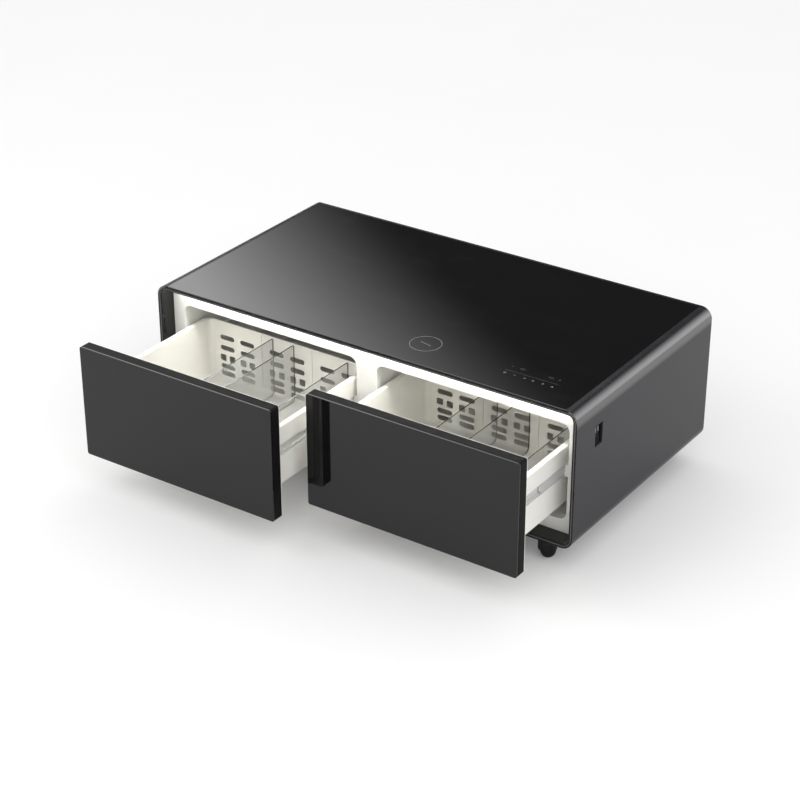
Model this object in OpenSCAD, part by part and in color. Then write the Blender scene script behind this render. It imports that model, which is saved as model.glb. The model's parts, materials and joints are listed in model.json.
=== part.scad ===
// Refrigerator coffee table: a low cabinet under a black glass top, on four hooded casters,
// with two chilled drawers that pull out of the front. The front faces -Y, Z is up from the
// floor, and the origin is on the floor under the middle of the table with its drawers as posed.

/* [Cabinet] */
// Width of the cabinet
body_w = 1300; // [1200:10:1500]
// Depth of the cabinet
body_d = 700; // [680:10:800]
// Height from the floor to the top of the glass
body_h = 450; // [430:5:500]
// Height of the cabinet's underside above the floor
floor_gap = 65; // [60:1:75]
// Radius of the four long rounded edges
corner_r = 32; // [20:1:33]
// Thickness of the wrapped outer sheet
shell_t = 1.2; // [0.8:0.1:3]
// Thickness of the sheet under the glass
top_sheet_t = 1.2; // [0.8:0.1:5]

/* [Glass top] */
// Thickness of the glass top
glass_t = 5; // [4:0.5:8]
// Distance from the cabinet's side to the edge of the glass
glass_side = 33; // [31:1:60]
// Distance from the cabinet's back to the edge of the glass
glass_back = 8; // [4:1:30]
// Radius of the glass top's corners
glass_r = 4; // [2:1:8]
// Diameter of the wireless charging mark
charge_ring_d = 83; // [60:1:90]

/* [Front recess] */
// Depth of the recess that the doors close into
recess_d = 50; // [48:1:60]
// Width of the rim at the sides and bottom
rim_w = 12; // [9:1:16]
// Width of the rim at the top, with the glass
rim_top = 13; // [12:1:20]
// Radius of the rim's inner corners
rim_r = 16; // [8:1:20]
// Wall from the cabinet's side to a drawer opening
side_wall = 48.5; // [46:0.5:60]
// Wall from the cabinet's underside to a drawer opening
bottom_wall = 47; // [44:1:60]
// Wall from the cabinet's top to a drawer opening
top_wall = 69; // [60:1:80]
// Width of the post between the two openings
post_w = 63; // [62:1:90]
// Corner radius of a drawer opening
opening_r = 22; // [10:1:30]
// Thickness of the white front flange
flange_t = 3; // [2:0.5:5]
// Thickness of a cavity's liner
liner_t = 2.5; // [2:0.5:4]
// Distance from a cavity's back to the cabinet's back
rear_space = 175.5; // [170:0.5:200]
// Thickness of the foam behind the cavities
foam_back = 40; // [30:1:45]
// Depth left for the evaporator behind a duct cover
evap_space = 35.5; // [35:0.5:50]
// Thickness of a duct cover
duct_t = 2.5; // [2:0.5:4]

/* [Doors] */
// Thickness of a drawer's door
door_t = 36; // [30:1:38]
// Lap of a door over its opening at each side
door_lap = 23.5; // [20:0.5:24]
// Lap of a door under its opening
door_lap_low = 18; // [16:1:22]
// Lap of a door above its opening
door_lap_top = 28; // [20:1:32]
// Corner radius of a door
door_r = 6; // [3:1:12]
// Thickness of a door's glass face
door_glass_t = 5; // [4:0.5:6]
// Thickness of a door's frame wall
door_wall = 8; // [6:1:12]
// Thickness of a door's inner panel
door_panel_t = 2; // [1.5:0.5:3]
// Height of the plug on a door's inner panel
plug_d = 8; // [6:1:12]
// Width of the door seal
seal_w = 12; // [10:1:14]

/* [Drawers] */
// How far the left drawer stands open
left_open = 341; // [0:1:390]
// How far the right drawer stands open
right_open = 220; // [0:1:390]
// Gap between a tub's rim and the side of its opening
tub_side_gap = 9.5; // [9:0.5:12]
// Gap between a tub's rim and the top of its opening
tub_top_gap = 63; // [50:1:80]
// Gap between a tub and the bottom of its opening
tub_low_gap = 30; // [20:1:34]
// Gap between a closed tub and its duct cover
tub_back_gap = 14; // [8:1:18]
// Wall thickness of a tub
tub_t = 2.5; // [2:0.5:3.5]
// Radius of a tub's upright corners
tub_r = 20; // [18:1:30]
// Radius of a tub's lower edges
tub_low_r = 16; // [8:1:17]
// Height of the apron that hangs from a tub's rim
apron_h = 50; // [40:1:55]
// Thickness of a divider
divider_t = 3; // [2:0.5:4]
// Width of an air slot in a tub's back wall
slot_w = 48; // [36:1:52]
// Height of an air slot in a tub's back wall
slot_h = 15; // [9:1:16]

/* [Slides] */
// Thickness of a telescopic slide
slide_t = 12.7; // [12:0.1:13]
// Height of a telescopic slide
slide_h = 33; // [30:1:34]
// Thickness of a slide member's sheet
slide_sheet = 1.4; // [1:0.1:1.6]
// Distance that a slide stops short of its tub's two ends together
slide_short = 35; // [30:1:60]

/* [Casters] */
// Distance from the cabinet's side to a caster
caster_in_x = 90; // [60:1:140]
// Distance from the cabinet's front or back to a caster
caster_in_y = 37; // [36:1:38]
// Radius of a caster's wheel
wheel_r = 20; // [17:1:21]
// Width of a caster's wheel
wheel_w = 30; // [20:1:32]
// Radius of a wheel's axle
axle_r = 2.5; // [2:0.5:4]
// Distance from a caster's swivel line to its axle
caster_trail = 2; // [0:0.5:3]
// Thickness of a caster's hood
hood_t = 1.8; // [1.2:0.1:2.5]
// Height of a hood's lower edge above the floor
hood_low = 17; // [14:1:22]
// Thickness of a caster's plate
plate_t = 2.5; // [2:0.5:4]
// Width of a caster's plate
plate_w = 58; // [54:1:64]

/* [Cooling unit] */
// Diameter of the compressor
comp_d = 104; // [90:1:110]
// Height of the compressor
comp_h = 150; // [120:1:170]
// Diameter of a cavity fan's bore
fan_d = 84; // [60:1:90]
// Diameter of the condenser fan's bore
cond_fan_d = 110; // [80:1:114]
// Width of the condenser
cond_w = 260; // [200:5:300]
// Height of the condenser
cond_h = 200; // [120:5:220]

/* [Side sockets and inlet] */
// Distance from the cabinet's front to the middle of the side socket panel
socket_in_y = 109; // [100:1:200]
// Distance from the cabinet's top to the middle of the socket panel
socket_drop = 105; // [60:1:150]
// Width of the socket panel
socket_w = 40; // [38:1:50]
// Height of the socket panel
socket_h = 63; // [60:1:80]

/* [Hidden] */
$fn = 48;
round_fn = 96;

// Overrun of every cut, and the standing clearances
cut = 1;
clear = 0.3;
snug = 0.05;

// Cabinet
front_y = -body_d / 2;
back_y = body_d / 2;
half_w = body_w / 2;
shell_h = body_h - floor_gap;
inner_z0 = floor_gap + shell_t;
inner_z1 = body_h - glass_t - top_sheet_t;
inner_h = inner_z1 - inner_z0;
inner_r = corner_r - shell_t;
pose_shift = max(left_open, right_open) / 2;
panel_inset = 5;
panel_t = 3;
panel_y0 = back_y - panel_inset - panel_t;
rear_lip = 20;
screw_in = 14;
socket_z = body_h - socket_drop;

// Front recess, openings and cavities
recess_y = front_y + recess_d;
opening_w = (body_w - 2 * side_wall - post_w) / 2;
opening_z0 = floor_gap + bottom_wall;
opening_h = shell_h - bottom_wall - top_wall;
opening_z1 = opening_z0 + opening_h;
opening_mid = opening_z0 + opening_h / 2;
drawer_x = (post_w + opening_w) / 2;
cavity_y0 = recess_y + flange_t;
cavity_y1 = back_y - rear_space;
duct_y = cavity_y1 - liner_t - evap_space - duct_t;
foam_y1 = cavity_y1 + foam_back;

// Doors
door_w = opening_w + 2 * door_lap;
door_z0 = opening_z0 - door_lap_low;
door_h = opening_h + door_lap_low + door_lap_top;
door_mid = door_z0 + door_h / 2;
door_bevel = 1.2;
seal_in = 3;
seal_base = 5;
seal_lip_w = seal_w * 2 / 3;
plug_in = 15;

// Tubs
tub_w = opening_w - 2 * tub_side_gap;
tub_z0 = opening_z0 + tub_low_gap;
tub_z1 = opening_z1 - tub_top_gap;
tub_y0 = door_t + plug_d;
tub_y1 = duct_y - tub_back_gap - front_y;
tub_d = tub_y1 - tub_y0;
groove_gap = 0.8;
slide_gap = 0.5;
wall_w = tub_w - 2 * (slide_t + groove_gap);
inner_w = wall_w - 2 * tub_t;
apron_z0 = tub_z1 - apron_h;
skirt_z1 = apron_z0 - slide_h - 2 * slide_gap;
skirt_z0 = tub_z0 + tub_low_r - tub_t;
skirt_w = tub_w - 2 * tub_t;
divider_drop = 3;
left_divider_shares = [-0.087, 0.048, 0.391];
right_divider_shares = [-0.079, 0.11, 0.437];

// Air slots in a tub's back wall, as shares of its inner width and of its height
slot_column_shares = [-0.393, -0.26, -0.067, 0.067, 0.26, 0.393];
slot_row_shares = [0.727, 0.545, 0.225, 0.105];
hole_row_share = 0.373;
hole_w = 20;
hole_gap = 31;
hole_r = 4;
slot_rib_share = 0.163;
slot_rib = 2;

// Slides, outwards from a tub's groove wall
slide_z = apron_z0 - slide_gap - slide_h / 2;
slide_len = tub_d - slide_short;
slide_y0 = cavity_y0 + clear;
member_gap = 0.4;
slide_lip = 8;
mid_h = slide_h - 2 * slide_sheet - 2 * member_gap;
small_h = mid_h - 2 * slide_sheet - 2 * member_gap;
groove_x = wall_w / 2;
bracket_t = opening_w / 2 - groove_x - slide_t - clear;

// Casters
caster_x = half_w - caster_in_x;
caster_y = body_d / 2 - caster_in_y;
caster_turn = [[-1, -1, 25], [1, -1, -40], [-1, 1, 160], [1, 1, 115]];
plate_z0 = floor_gap - plate_t;
boss_h = 5.5;
boss_r = 9;
pin_r = 5;
hood_gap = 0.8;
hood_r_in = wheel_r + caster_trail + hood_gap;
hood_r = hood_r_in + hood_t;
hood_top = plate_z0 - boss_h - clear;
hood_cap_t = 3;
wheel_flat = wheel_w / 4;
wheel_round = (wheel_w - wheel_flat) / 2;
wheel_side_r = wheel_r - wheel_round;
screw_r = 2.1;
screw_head_r = 4;
screw_head_h = 2;
caster_screw_len = 5;
plate_hole_in = 7;
caster_hole = plate_w - 2 * plate_hole_in;

// Base rails that back the casters
rail_w = 60;
rail_h = 9;
rail_t = 2;

// Cavity fans and evaporators
fan_rim = 6;
fan_frame = fan_d + 2 * fan_rim;
fan_t = 22;
fan_in = 20;
fan_x = opening_w / 2 - fan_frame / 2 - fan_in;
fan_z = opening_mid;
fan_y = cavity_y1 - liner_t - fan_t;
motor_r = 17;
motor_t = 9;
hub_t = fan_t - motor_t - 2 * clear;
shaft_r = 2;
blade_t = 1.5;
blade_tip = 2;
evap_in = 25;
evap_fan_gap = 45;
evap_w = opening_w - fan_frame - fan_in - evap_in - evap_fan_gap;
evap_h = opening_h * 0.62;
evap_d = 26;
evap_x = -(opening_w - evap_w) / 2 + evap_in;
evap_y = cavity_y1 - liner_t - evap_d;
fin_t = 1;
evap_fins = 16;
evap_runs = 4;
coil_tube_r = 4;

// Machine space behind the foam
mach_y0 = foam_y1;
mach_mid_y = (foam_y1 + panel_y0) / 2;
comp_in = 190;
comp_x = half_w - comp_in;
comp_foot_t = 3;
bush_h = 12;
bush_r = 9;
comp_z0 = inner_z0 + bush_h;
comp_foot = comp_d * 0.78;
stub_h = 16;
cond_in = 140;
cond_x = -half_w + cond_w / 2 + cond_in;
cond_d = 30;
cond_back_gap = 12;
cond_y = panel_y0 - cond_back_gap - cond_d;
cond_fins = 14;
cond_runs = 6;
cond_foot = 8;
cond_fan_rim = 7;
cond_frame = cond_fan_d + 2 * cond_fan_rim;
cond_fan_t = 28;
cond_fan_gap = 10;
cond_fan_y = cond_y - cond_fan_gap - cond_fan_t;
cond_fan_z = inner_z0 + cond_foot + cond_frame / 2;
pipe_r = 3;
pipe_gap = 1;
pipe_run_gap = 8;
pipe_high_gap = 10;
cond_end = cond_x + cond_w / 2 - cond_w / cond_fins;
cond_row = cond_h / cond_runs;
cond_low = inner_z0 + cond_foot + cond_row / 2;
cond_top = inner_z0 + cond_foot + cond_h - cond_row / 2;
pipe_back_z = cond_top + 5 * pipe_r;

// Electronics
board_share = 0.64;
board_h = (inner_z1 - pipe_back_z) * board_share;
charger_share = 0.223;
charger_x = charger_share * half_w;
charger_in_y = 106;
charger_margin = 4.5;
charger_r = charge_ring_d / 2 + charger_margin;
charger_t = 11;
touch_in_x = 186;
touch_x = half_w - touch_in_x;
touch_in_y = 105;
touch_w = 190;
touch_d = 84;
board_t = 1.6;
chip_t = 3;
led_w = 10;
led_t = 1.5;
lamp_out = 1;
diffuser_w = 13;
diffuser_t = 6;
diffuser_wall = 1.2;
led_in = 14;
led_back = 4;

// Side sockets and rear inlet
bezel_rim = 3;
bezel_t = 3;
bezel_r = 3;
socket_depth = 34;
socket_recess = 4;
usb_w = 5;
usb_h = 13;
usb_in_y = 6;
usb_deep = 12;
outlet_r = 11;
outlet_slot = 2;
inlet_w = 50;
inlet_h = 28;
inlet_in = 60;
inlet_x = half_w - inlet_in;
inlet_z = floor_gap + inlet_in;
inlet_hole_w = 25;
inlet_hole_h = 17;
inlet_deep = 18;
blade_len = 11;
pin_in = 7;
pin_low = 2;
pin_high = 3;

// Carries a flat outline, drawn in X and Z, from y0 to y1
module prism_y(y0, y1) {
    translate([0, y1, 0])
        rotate([90, 0, 0])
            linear_extrude(y1 - y0)
                children();
}

// A flat rectangle with true round corners, about its middle
module round_rect(w, h, r) {
    square([w - 2 * r, h], center = true);
    square([w, h - 2 * r], center = true);
    for (sx = [-1, 1], sz = [-1, 1])
        translate([sx * (w / 2 - r), sz * (h / 2 - r)])
            circle(r, $fn = round_fn);
}

// A slot with round ends, along X
module slot_outline(w, h) {
    square([w - h, h], center = true);
    for (sx = [-1, 1])
        translate([sx * (w - h) / 2, 0])
            circle(h / 2);
}

// The outline of the space inside the shell, less a gap all round
module inner_outline(gap) {
    translate([0, (inner_z0 + inner_z1) / 2])
        round_rect(body_w - 2 * shell_t - 2 * gap, inner_h - 2 * gap, inner_r - gap);
}

// The outline of one drawer opening, grown by a margin
module opening_outline(grow) {
    translate([0, opening_mid])
        round_rect(opening_w + 2 * grow, opening_h + 2 * grow, opening_r + grow);
}

// Both openings, or anything else drawn about a drawer's middle line
module both_sides() {
    for (side = [-1, 1])
        translate([side * drawer_x, 0, 0])
            children();
}

// A round tube along a list of points, with round joints and flat ends
module pipe(points, r) {
    for (i = [0 : len(points) - 2]) {
        a = points[i];
        d = points[i + 1] - a;
        length = norm(d);
        translate(a)
            rotate([0, acos(d[2] / length), atan2(d[1], d[0])])
                cylinder(r = r, h = length, $fn = 24);
        if (i > 0)
            translate(a)
                sphere(r, $fn = 24);
    }
}

// Places a child at each caster, turned as the caster stands
module at_caster(c) {
    translate([c[0] * caster_x, c[1] * caster_y, 0])
        rotate([0, 0, c[2]])
            children();
}

module touch_window(grow) {
    translate([touch_x, front_y + touch_in_y, 0])
        linear_extrude(body_h)
            square([touch_w + 2 * grow, touch_d + 2 * grow], center = true);
}

module charger_window(grow) {
    translate([charger_x, front_y + charger_in_y, 0])
        cylinder(r = charger_r + grow, h = body_h, $fn = round_fn);
}

// The socket's outline, cut through along X from x0 to x1
module socket_prism(x0, x1, grow) {
    translate([x0, front_y + socket_in_y, socket_z])
        rotate([90, 0, 90])
            linear_extrude(x1 - x0)
                round_rect(socket_w + 2 * grow, socket_h + 2 * grow, max(bezel_r + grow, bezel_r / 2));
}

// The caster screws' places on the underside
module at_caster_screws() {
    for (c = caster_turn, sx = [-1, 1], sy = [-1, 1])
        translate([c[0] * caster_x + sx * caster_hole / 2, c[1] * caster_y + sy * caster_hole / 2, 0])
            children();
}

module outer_shell() {
    color([0.16, 0.16, 0.17])
        difference() {
            prism_y(front_y, back_y)
                translate([0, floor_gap + shell_h / 2])
                    round_rect(body_w, shell_h, corner_r);
            prism_y(front_y - cut, panel_y0 - shell_t)
                inner_outline(0);
            prism_y(panel_y0 - shell_t - cut, panel_y0 + cut) {
                inner_outline(rear_lip);
                for (p = panel_screw_places())
                    translate(p)
                        circle(screw_r + snug);
            }
            prism_y(panel_y0, back_y + cut)
                inner_outline(0);
            translate([-half_w + glass_side - clear, front_y - cut, body_h - glass_t])
                cube([body_w - 2 * glass_side + 2 * clear, body_d - glass_back + clear + cut,
                    glass_t + cut]);
            intersection() {
                union() {
                    touch_window(clear);
                    charger_window(clear);
                }
                translate([-half_w, front_y, inner_z1 - cut])
                    cube([body_w, body_d, top_sheet_t + 2 * cut]);
            }
            socket_prism(half_w - shell_t - cut, half_w + cut, bezel_rim);
            at_caster_screws()
                translate([0, 0, floor_gap - cut])
                    cylinder(r = screw_r + snug, h = shell_t + 2 * cut);
        }
}

module glass_top() {
    glass_d = body_d - glass_back - clear;
    color([0.03, 0.03, 0.035])
        translate([0, front_y + clear + glass_d / 2, body_h - glass_t])
            linear_extrude(glass_t)
                round_rect(body_w - 2 * glass_side, glass_d, glass_r);
}

// The rim is four straight bars and four corner pieces, with a fine joint between each two
module front_rim() {
    hole_w = body_w - 2 * rim_w;
    hole_h = shell_h - rim_w - rim_top;
    hole_mid = floor_gap + rim_w + hole_h / 2;
    color([0.06, 0.06, 0.065])
        difference() {
            prism_y(front_y, recess_y)
                inner_outline(0);
            prism_y(front_y - cut, recess_y + cut)
                translate([0, hole_mid])
                    round_rect(hole_w, hole_h, rim_r);
            for (s = [-1, 1]) {
                translate([s * (hole_w / 2 - rim_r) - snug, front_y - cut, floor_gap])
                    cube([2 * snug, recess_d + 2 * cut, shell_h]);
                translate([-half_w, front_y - cut, hole_mid + s * (hole_h / 2 - rim_r) - snug])
                    cube([body_w, recess_d + 2 * cut, 2 * snug]);
            }
            at_caster_screws()
                translate([0, 0, inner_z0 - cut])
                    cylinder(r = screw_r + snug, h = caster_screw_len - shell_t + cut + clear);
        }
}

module liner_flange() {
    color([0.95, 0.95, 0.92])
        difference() {
            prism_y(recess_y, cavity_y0)
                inner_outline(clear);
            prism_y(recess_y - cut, cavity_y0 + cut)
                both_sides()
                    opening_outline(0);
            at_caster_screws()
                translate([0, 0, inner_z0 - cut])
                    cylinder(r = screw_r + clear, h = caster_screw_len);
        }
}

// A cavity's liner, with the four bosses at its back that carry the duct cover
module cavity_liner(side) {
    boss_r = 5;
    boss_in = 30;
    color([0.93, 0.93, 0.9])
        translate([side * drawer_x, 0, 0]) {
            difference() {
                prism_y(cavity_y0, cavity_y1)
                    opening_outline(liner_t);
                prism_y(cavity_y0 - cut, cavity_y1 - liner_t)
                    opening_outline(0);
                translate([evap_pipe_x(), cavity_y1 + cut, evap_pipe_z()])
                    rotate([90, 0, 0])
                        cylinder(r = pipe_r + pipe_gap, h = liner_t + 2 * cut);
            }
            for (sx = [-1, 1], sz = [-1, 1])
                translate([sx * (opening_w / 2 - boss_in / 2), duct_y + duct_t,
                    opening_mid + sz * (opening_h / 2 - boss_in)])
                    rotate([-90, 0, 0])
                        cylinder(r = boss_r, h = evap_space + liner_t / 2);
        }
}

// Where an evaporator's pipe goes through the back of its cavity
function evap_pipe_x() = evap_x + evap_w / 2 - 1.5 * evap_w / evap_fins;
function evap_pipe_z() = opening_mid - evap_h / 2 + evap_h / evap_runs / 2;

module foam_insulation() {
    color([0.93, 0.86, 0.6])
        difference() {
            prism_y(cavity_y0, foam_y1)
                inner_outline(clear);
            prism_y(cavity_y0 - cut, cavity_y1 + clear)
                both_sides()
                    opening_outline(liner_t + clear);
            both_sides()
                translate([evap_pipe_x(), foam_y1 + cut, evap_pipe_z()])
                    rotate([90, 0, 0])
                        cylinder(r = pipe_r + pipe_gap, h = foam_back + 2 * cut);
            translate([0, 0, inner_z1 - charger_t])
                charger_window(2 * clear);
            translate([0, 0, inner_z1 - chip_t - 2 * board_t])
                touch_window(2 * clear);
            socket_prism(half_w - socket_depth - shell_t - bezel_t, half_w, bezel_rim + clear);
            for (side = [-1, 1])
                translate([side * caster_x - rail_w / 2 - clear, cavity_y0 - cut, inner_z0 - cut])
                    cube([rail_w + 2 * clear, foam_y1 - cavity_y0 + 2 * cut, rail_h + clear + cut]);
        }
}

// Vent slots in rows, cut through the rear panel
module vents(x, z, columns, rows, w, h, pitch_x, pitch_z) {
    for (i = [0 : columns - 1], j = [0 : rows - 1])
        translate([x + (i - (columns - 1) / 2) * pitch_x, z + (j - (rows - 1) / 2) * pitch_z])
            slot_outline(w, h);
}

function panel_screw_places() = [for (share = [-1, -0.4, 0.4, 1], sz = [-1, 1])
    [share * (half_w - 3 * screw_in), (inner_z0 + inner_z1) / 2 + sz * (inner_h / 2 - screw_in)]];

module rear_panel() {
    vent_w = 34;
    vent_h = 5;
    vent_pitch_x = 44;
    vent_pitch_z = 13;
    tab = 12;
    color([0.1, 0.1, 0.105])
        difference() {
            prism_y(panel_y0, panel_y0 + panel_t)
                inner_outline(clear);
            prism_y(panel_y0 - cut, panel_y0 + panel_t + cut) {
                vents(cond_x, inner_z0 + cond_foot + cond_h / 2, 5, 12, vent_w, vent_h,
                    vent_pitch_x, vent_pitch_z);
                vents(comp_x, inner_z0 + comp_h / 2 + tab, 3, 10, vent_w, vent_h,
                    vent_pitch_x, vent_pitch_z);
                translate([inlet_x, inlet_z])
                    square([inlet_hole_w + 2 * bezel_rim + clear,
                        inlet_hole_h + 2 * bezel_rim + clear], center = true);
                for (p = panel_screw_places())
                    translate(p)
                        circle(screw_r + snug);
            }
        }
}

module base_rails() {
    color([0.55, 0.56, 0.58])
        for (side = [-1, 1])
            difference() {
                prism_y(cavity_y0 + clear, panel_y0 - shell_t - clear)
                    translate([side * caster_x, inner_z0 + rail_h / 2])
                        square([rail_w, rail_h], center = true);
                prism_y(cavity_y0, panel_y0)
                    translate([side * caster_x, inner_z0 + rail_t + rail_h / 2])
                        square([rail_w - 2 * rail_t, rail_h], center = true);
                at_caster_screws()
                    translate([0, 0, floor_gap])
                        cylinder(r = screw_r + snug, h = floor_gap);
            }
}

module duct_cover() {
    louvre_w = 60;
    louvre_h = 5;
    louvre_pitch = 12;
    prism_y(duct_y, duct_y + duct_t)
        difference() {
            opening_outline(-clear);
            translate([fan_x, fan_z])
                circle(fan_d / 2, $fn = round_fn);
            translate([evap_x, 0])
                vents(0, opening_mid, 4, 6, louvre_w, louvre_h, louvre_w * 4 / 3, louvre_pitch);
        }
}

module duct_covers() {
    color([0.9, 0.9, 0.87])
        both_sides()
            duct_cover();
}

// Plate fins on straight tube runs, joined at the ends by U bends
module fin_coil(w, h, d, fins, runs, tube_r) {
    run_gap = h / runs;
    bend_in = w / fins;
    for (i = [1 : fins - 1])
        translate([-w / 2 + i * w / fins - fin_t / 2, 0, -h / 2])
            cube([fin_t, d, h]);
    for (j = [0 : runs - 1])
        translate([-w / 2 + bend_in, d / 2, -h / 2 + run_gap * (j + 1 / 2)])
            rotate([0, 90, 0])
                cylinder(r = tube_r, h = w - 2 * bend_in, $fn = 24);
    for (j = [0 : runs - 2])
        translate([(j % 2 == 0 ? -1 : 1) * (w / 2 - bend_in), d / 2, -h / 2 + run_gap * (j + 1)])
            rotate([90, 0, 0])
                rotate([0, 0, j % 2 == 0 ? 90 : -90])
                    rotate_extrude(angle = 180, $fn = 48)
                        translate([run_gap / 2, 0])
                            circle(tube_r, $fn = 24);
}

module evaporators() {
    color([0.75, 0.77, 0.78])
        both_sides()
            translate([evap_x, evap_y, opening_mid])
                fin_coil(evap_w, evap_h, evap_d, evap_fins, evap_runs, coil_tube_r);
}

// A square fan frame with its motor on struts, drawn about the rotor's axis
module fan_body(bore, frame, depth, motor) {
    strut = 5;
    difference() {
        translate([-frame / 2, 0, -frame / 2])
            cube([frame, depth, frame]);
        rotate([-90, 0, 0])
            translate([0, 0, -cut])
                cylinder(d = bore, h = depth + 2 * cut, $fn = round_fn);
    }
    for (turn = [45, 135])
        rotate([0, turn, 0])
            translate([-frame / 2, depth - blade_t, -strut / 2])
                cube([frame, blade_t, strut]);
    translate([0, depth - motor_t, 0])
        rotate([-90, 0, 0])
            cylinder(r = motor, h = motor_t);
    translate([0, depth - motor_t, 0])
        rotate([90, 0, 0])
            cylinder(r = shaft_r, h = depth - motor_t - clear * 3);
}

// Hub and slanted blades that turn on the motor's shaft
module fan_rotor(bore, depth, hub, blades) {
    blade_r = bore / 2 - blade_tip;
    rotor_t = depth - motor_t - 2 * clear;
    slant = 35;
    chord = (rotor_t - 2 * clear - blade_t * sin(slant)) / cos(slant);
    color([0.85, 0.86, 0.86])
        difference() {
            union() {
                translate([0, clear, 0])
                    rotate([-90, 0, 0])
                        cylinder(r = hub, h = rotor_t);
                for (i = [0 : blades - 1])
                    rotate([0, i * 360 / blades, 0])
                        translate([0, clear + rotor_t / 2, 0])
                            rotate([slant, 0, 0])
                                translate([hub / 2, -chord / 2, -blade_t / 2])
                                    cube([blade_r - blade_t - hub / 2, chord, blade_t]);
            }
            rotate([-90, 0, 0])
                cylinder(r = shaft_r + snug, h = depth);
        }
}

module fan_motors() {
    color([0.2, 0.2, 0.21])
        both_sides()
            translate([fan_x, fan_y, fan_z])
                fan_body(fan_d, fan_frame, fan_t, motor_r);
}

module cavity_fan_rotor(side) {
    translate([side * drawer_x + fan_x, fan_y, fan_z])
        fan_rotor(fan_d, fan_t, motor_r, 7);
}

function comp_feet() = [for (sx = [-1, 1], sy = [-1, 1]) [sx * comp_foot / 2, sy * comp_foot / 2]];

module compressor() {
    r = comp_d / 2;
    dome = comp_d / 5;
    seam_h = 6;
    seam_out = 2.5;
    box_w = 34;
    box_h = 46;
    box_d = 14;
    color([0.05, 0.05, 0.055])
        translate([comp_x, mach_mid_y, comp_z0]) {
            difference() {
                translate([0, 0, comp_foot_t / 2])
                    cube([comp_foot + 2 * bush_r, comp_foot + 2 * bush_r, comp_foot_t], center = true);
                for (p = comp_feet())
                    translate([p[0], p[1], -cut])
                        cylinder(r = screw_r + clear, h = comp_foot_t + 2 * cut);
            }
            translate([0, 0, comp_foot_t])
                rotate_extrude($fn = round_fn) {
                    square([r - dome, comp_h - comp_foot_t]);
                    translate([0, dome])
                        square([r, comp_h - comp_foot_t - 2 * dome]);
                    for (z = [dome, comp_h - comp_foot_t - dome])
                        translate([r - dome, z])
                            intersection() {
                                circle(dome);
                                translate([0, -dome])
                                    square([dome, 2 * dome]);
                            }
                    translate([0, comp_h / 2])
                        square([r + seam_out, seam_h]);
                }
            translate([-r - box_d / 2, -box_w / 2, comp_h / 4])
                cube([box_d * 2, box_w, box_h]);
            for (sx = [-1, 1])
                translate([sx * r / 2, 0, comp_h - cut])
                    cylinder(r = pipe_r + pipe_gap, h = stub_h);
        }
}

module compressor_bushes() {
    color([0.08, 0.08, 0.08])
        translate([comp_x, mach_mid_y, inner_z0])
            for (p = comp_feet())
                translate([p[0], p[1], 0])
                    difference() {
                        cylinder(r = bush_r, h = bush_h);
                        translate([0, 0, -cut])
                            cylinder(r = screw_r, h = bush_h + 2 * cut);
                    }
}

module condenser() {
    color([0.18, 0.18, 0.19])
        translate([cond_x, cond_y, inner_z0 + cond_foot + cond_h / 2]) {
            fin_coil(cond_w, cond_h, cond_d, cond_fins, cond_runs, coil_tube_r);
            for (sx = [-1, 1])
                translate([sx * (cond_w / 2 - cond_w / cond_fins) - cond_foot / 2, 0,
                    -cond_h / 2 - cond_foot])
                    cube([cond_foot, cond_d, cond_foot * 2]);
        }
}

module condenser_fan_frame() {
    color([0.12, 0.12, 0.125])
        translate([cond_x, cond_fan_y, cond_fan_z]) {
            fan_body(cond_fan_d, cond_frame, cond_fan_t, motor_r);
            for (sx = [-1, 1])
                translate([sx * cond_frame / 3 - cond_foot / 2, 0, -cond_frame / 2 - cond_foot])
                    cube([cond_foot, cond_fan_t, cond_foot * 2]);
        }
}

module condenser_fan_rotor() {
    translate([cond_x, cond_fan_y, cond_fan_z])
        fan_rotor(cond_fan_d, cond_fan_t, motor_r, 5);
}

// Pipes from the compressor through the condenser and the drier to both evaporators, and back
module refrigerant_pipes() {
    run_y = foam_y1 + pipe_run_gap;
    high_y = run_y + pipe_high_gap;
    drier_r = 7;
    drier_l = 70;
    stub_top = comp_z0 + comp_h + stub_h - cut;
    cond_mid = cond_y + cond_d / 2;
    turn_x = cond_end + 3 * pipe_r;
    back_z = pipe_back_z;
    ports = [for (side = [-1, 1]) side * drawer_x + evap_pipe_x()];
    pipe_z = evap_pipe_z();
    fin_face = cond_end + fin_t / 2;
    out_x = comp_x - comp_d / 4;
    in_x = comp_x + comp_d / 4;
    color([0.72, 0.42, 0.25]) {
        pipe([[out_x, mach_mid_y, stub_top], [out_x, mach_mid_y, cond_top],
            [out_x, high_y, cond_top], [turn_x, high_y, cond_top],
            [turn_x, cond_mid, cond_top], [fin_face, cond_mid, cond_top]], pipe_r);
        pipe([[fin_face, cond_mid, cond_low], [turn_x, cond_mid, cond_low],
            [turn_x, run_y, cond_low], [turn_x, run_y, pipe_z], [ports[0], run_y, pipe_z],
            [ports[1], run_y, pipe_z], [ports[1], run_y, back_z], [in_x, run_y, back_z],
            [in_x, mach_mid_y, back_z], [in_x, mach_mid_y, stub_top]], pipe_r);
        for (x = ports)
            pipe([[x, evap_y + evap_d / 2 + coil_tube_r, pipe_z], [x, run_y, pipe_z]], pipe_r);
        translate([(ports[0] + ports[1]) / 2 - drier_l / 2, run_y, pipe_z])
            rotate([0, 90, 0])
                cylinder(r = drier_r, h = drier_l);
    }
}

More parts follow.
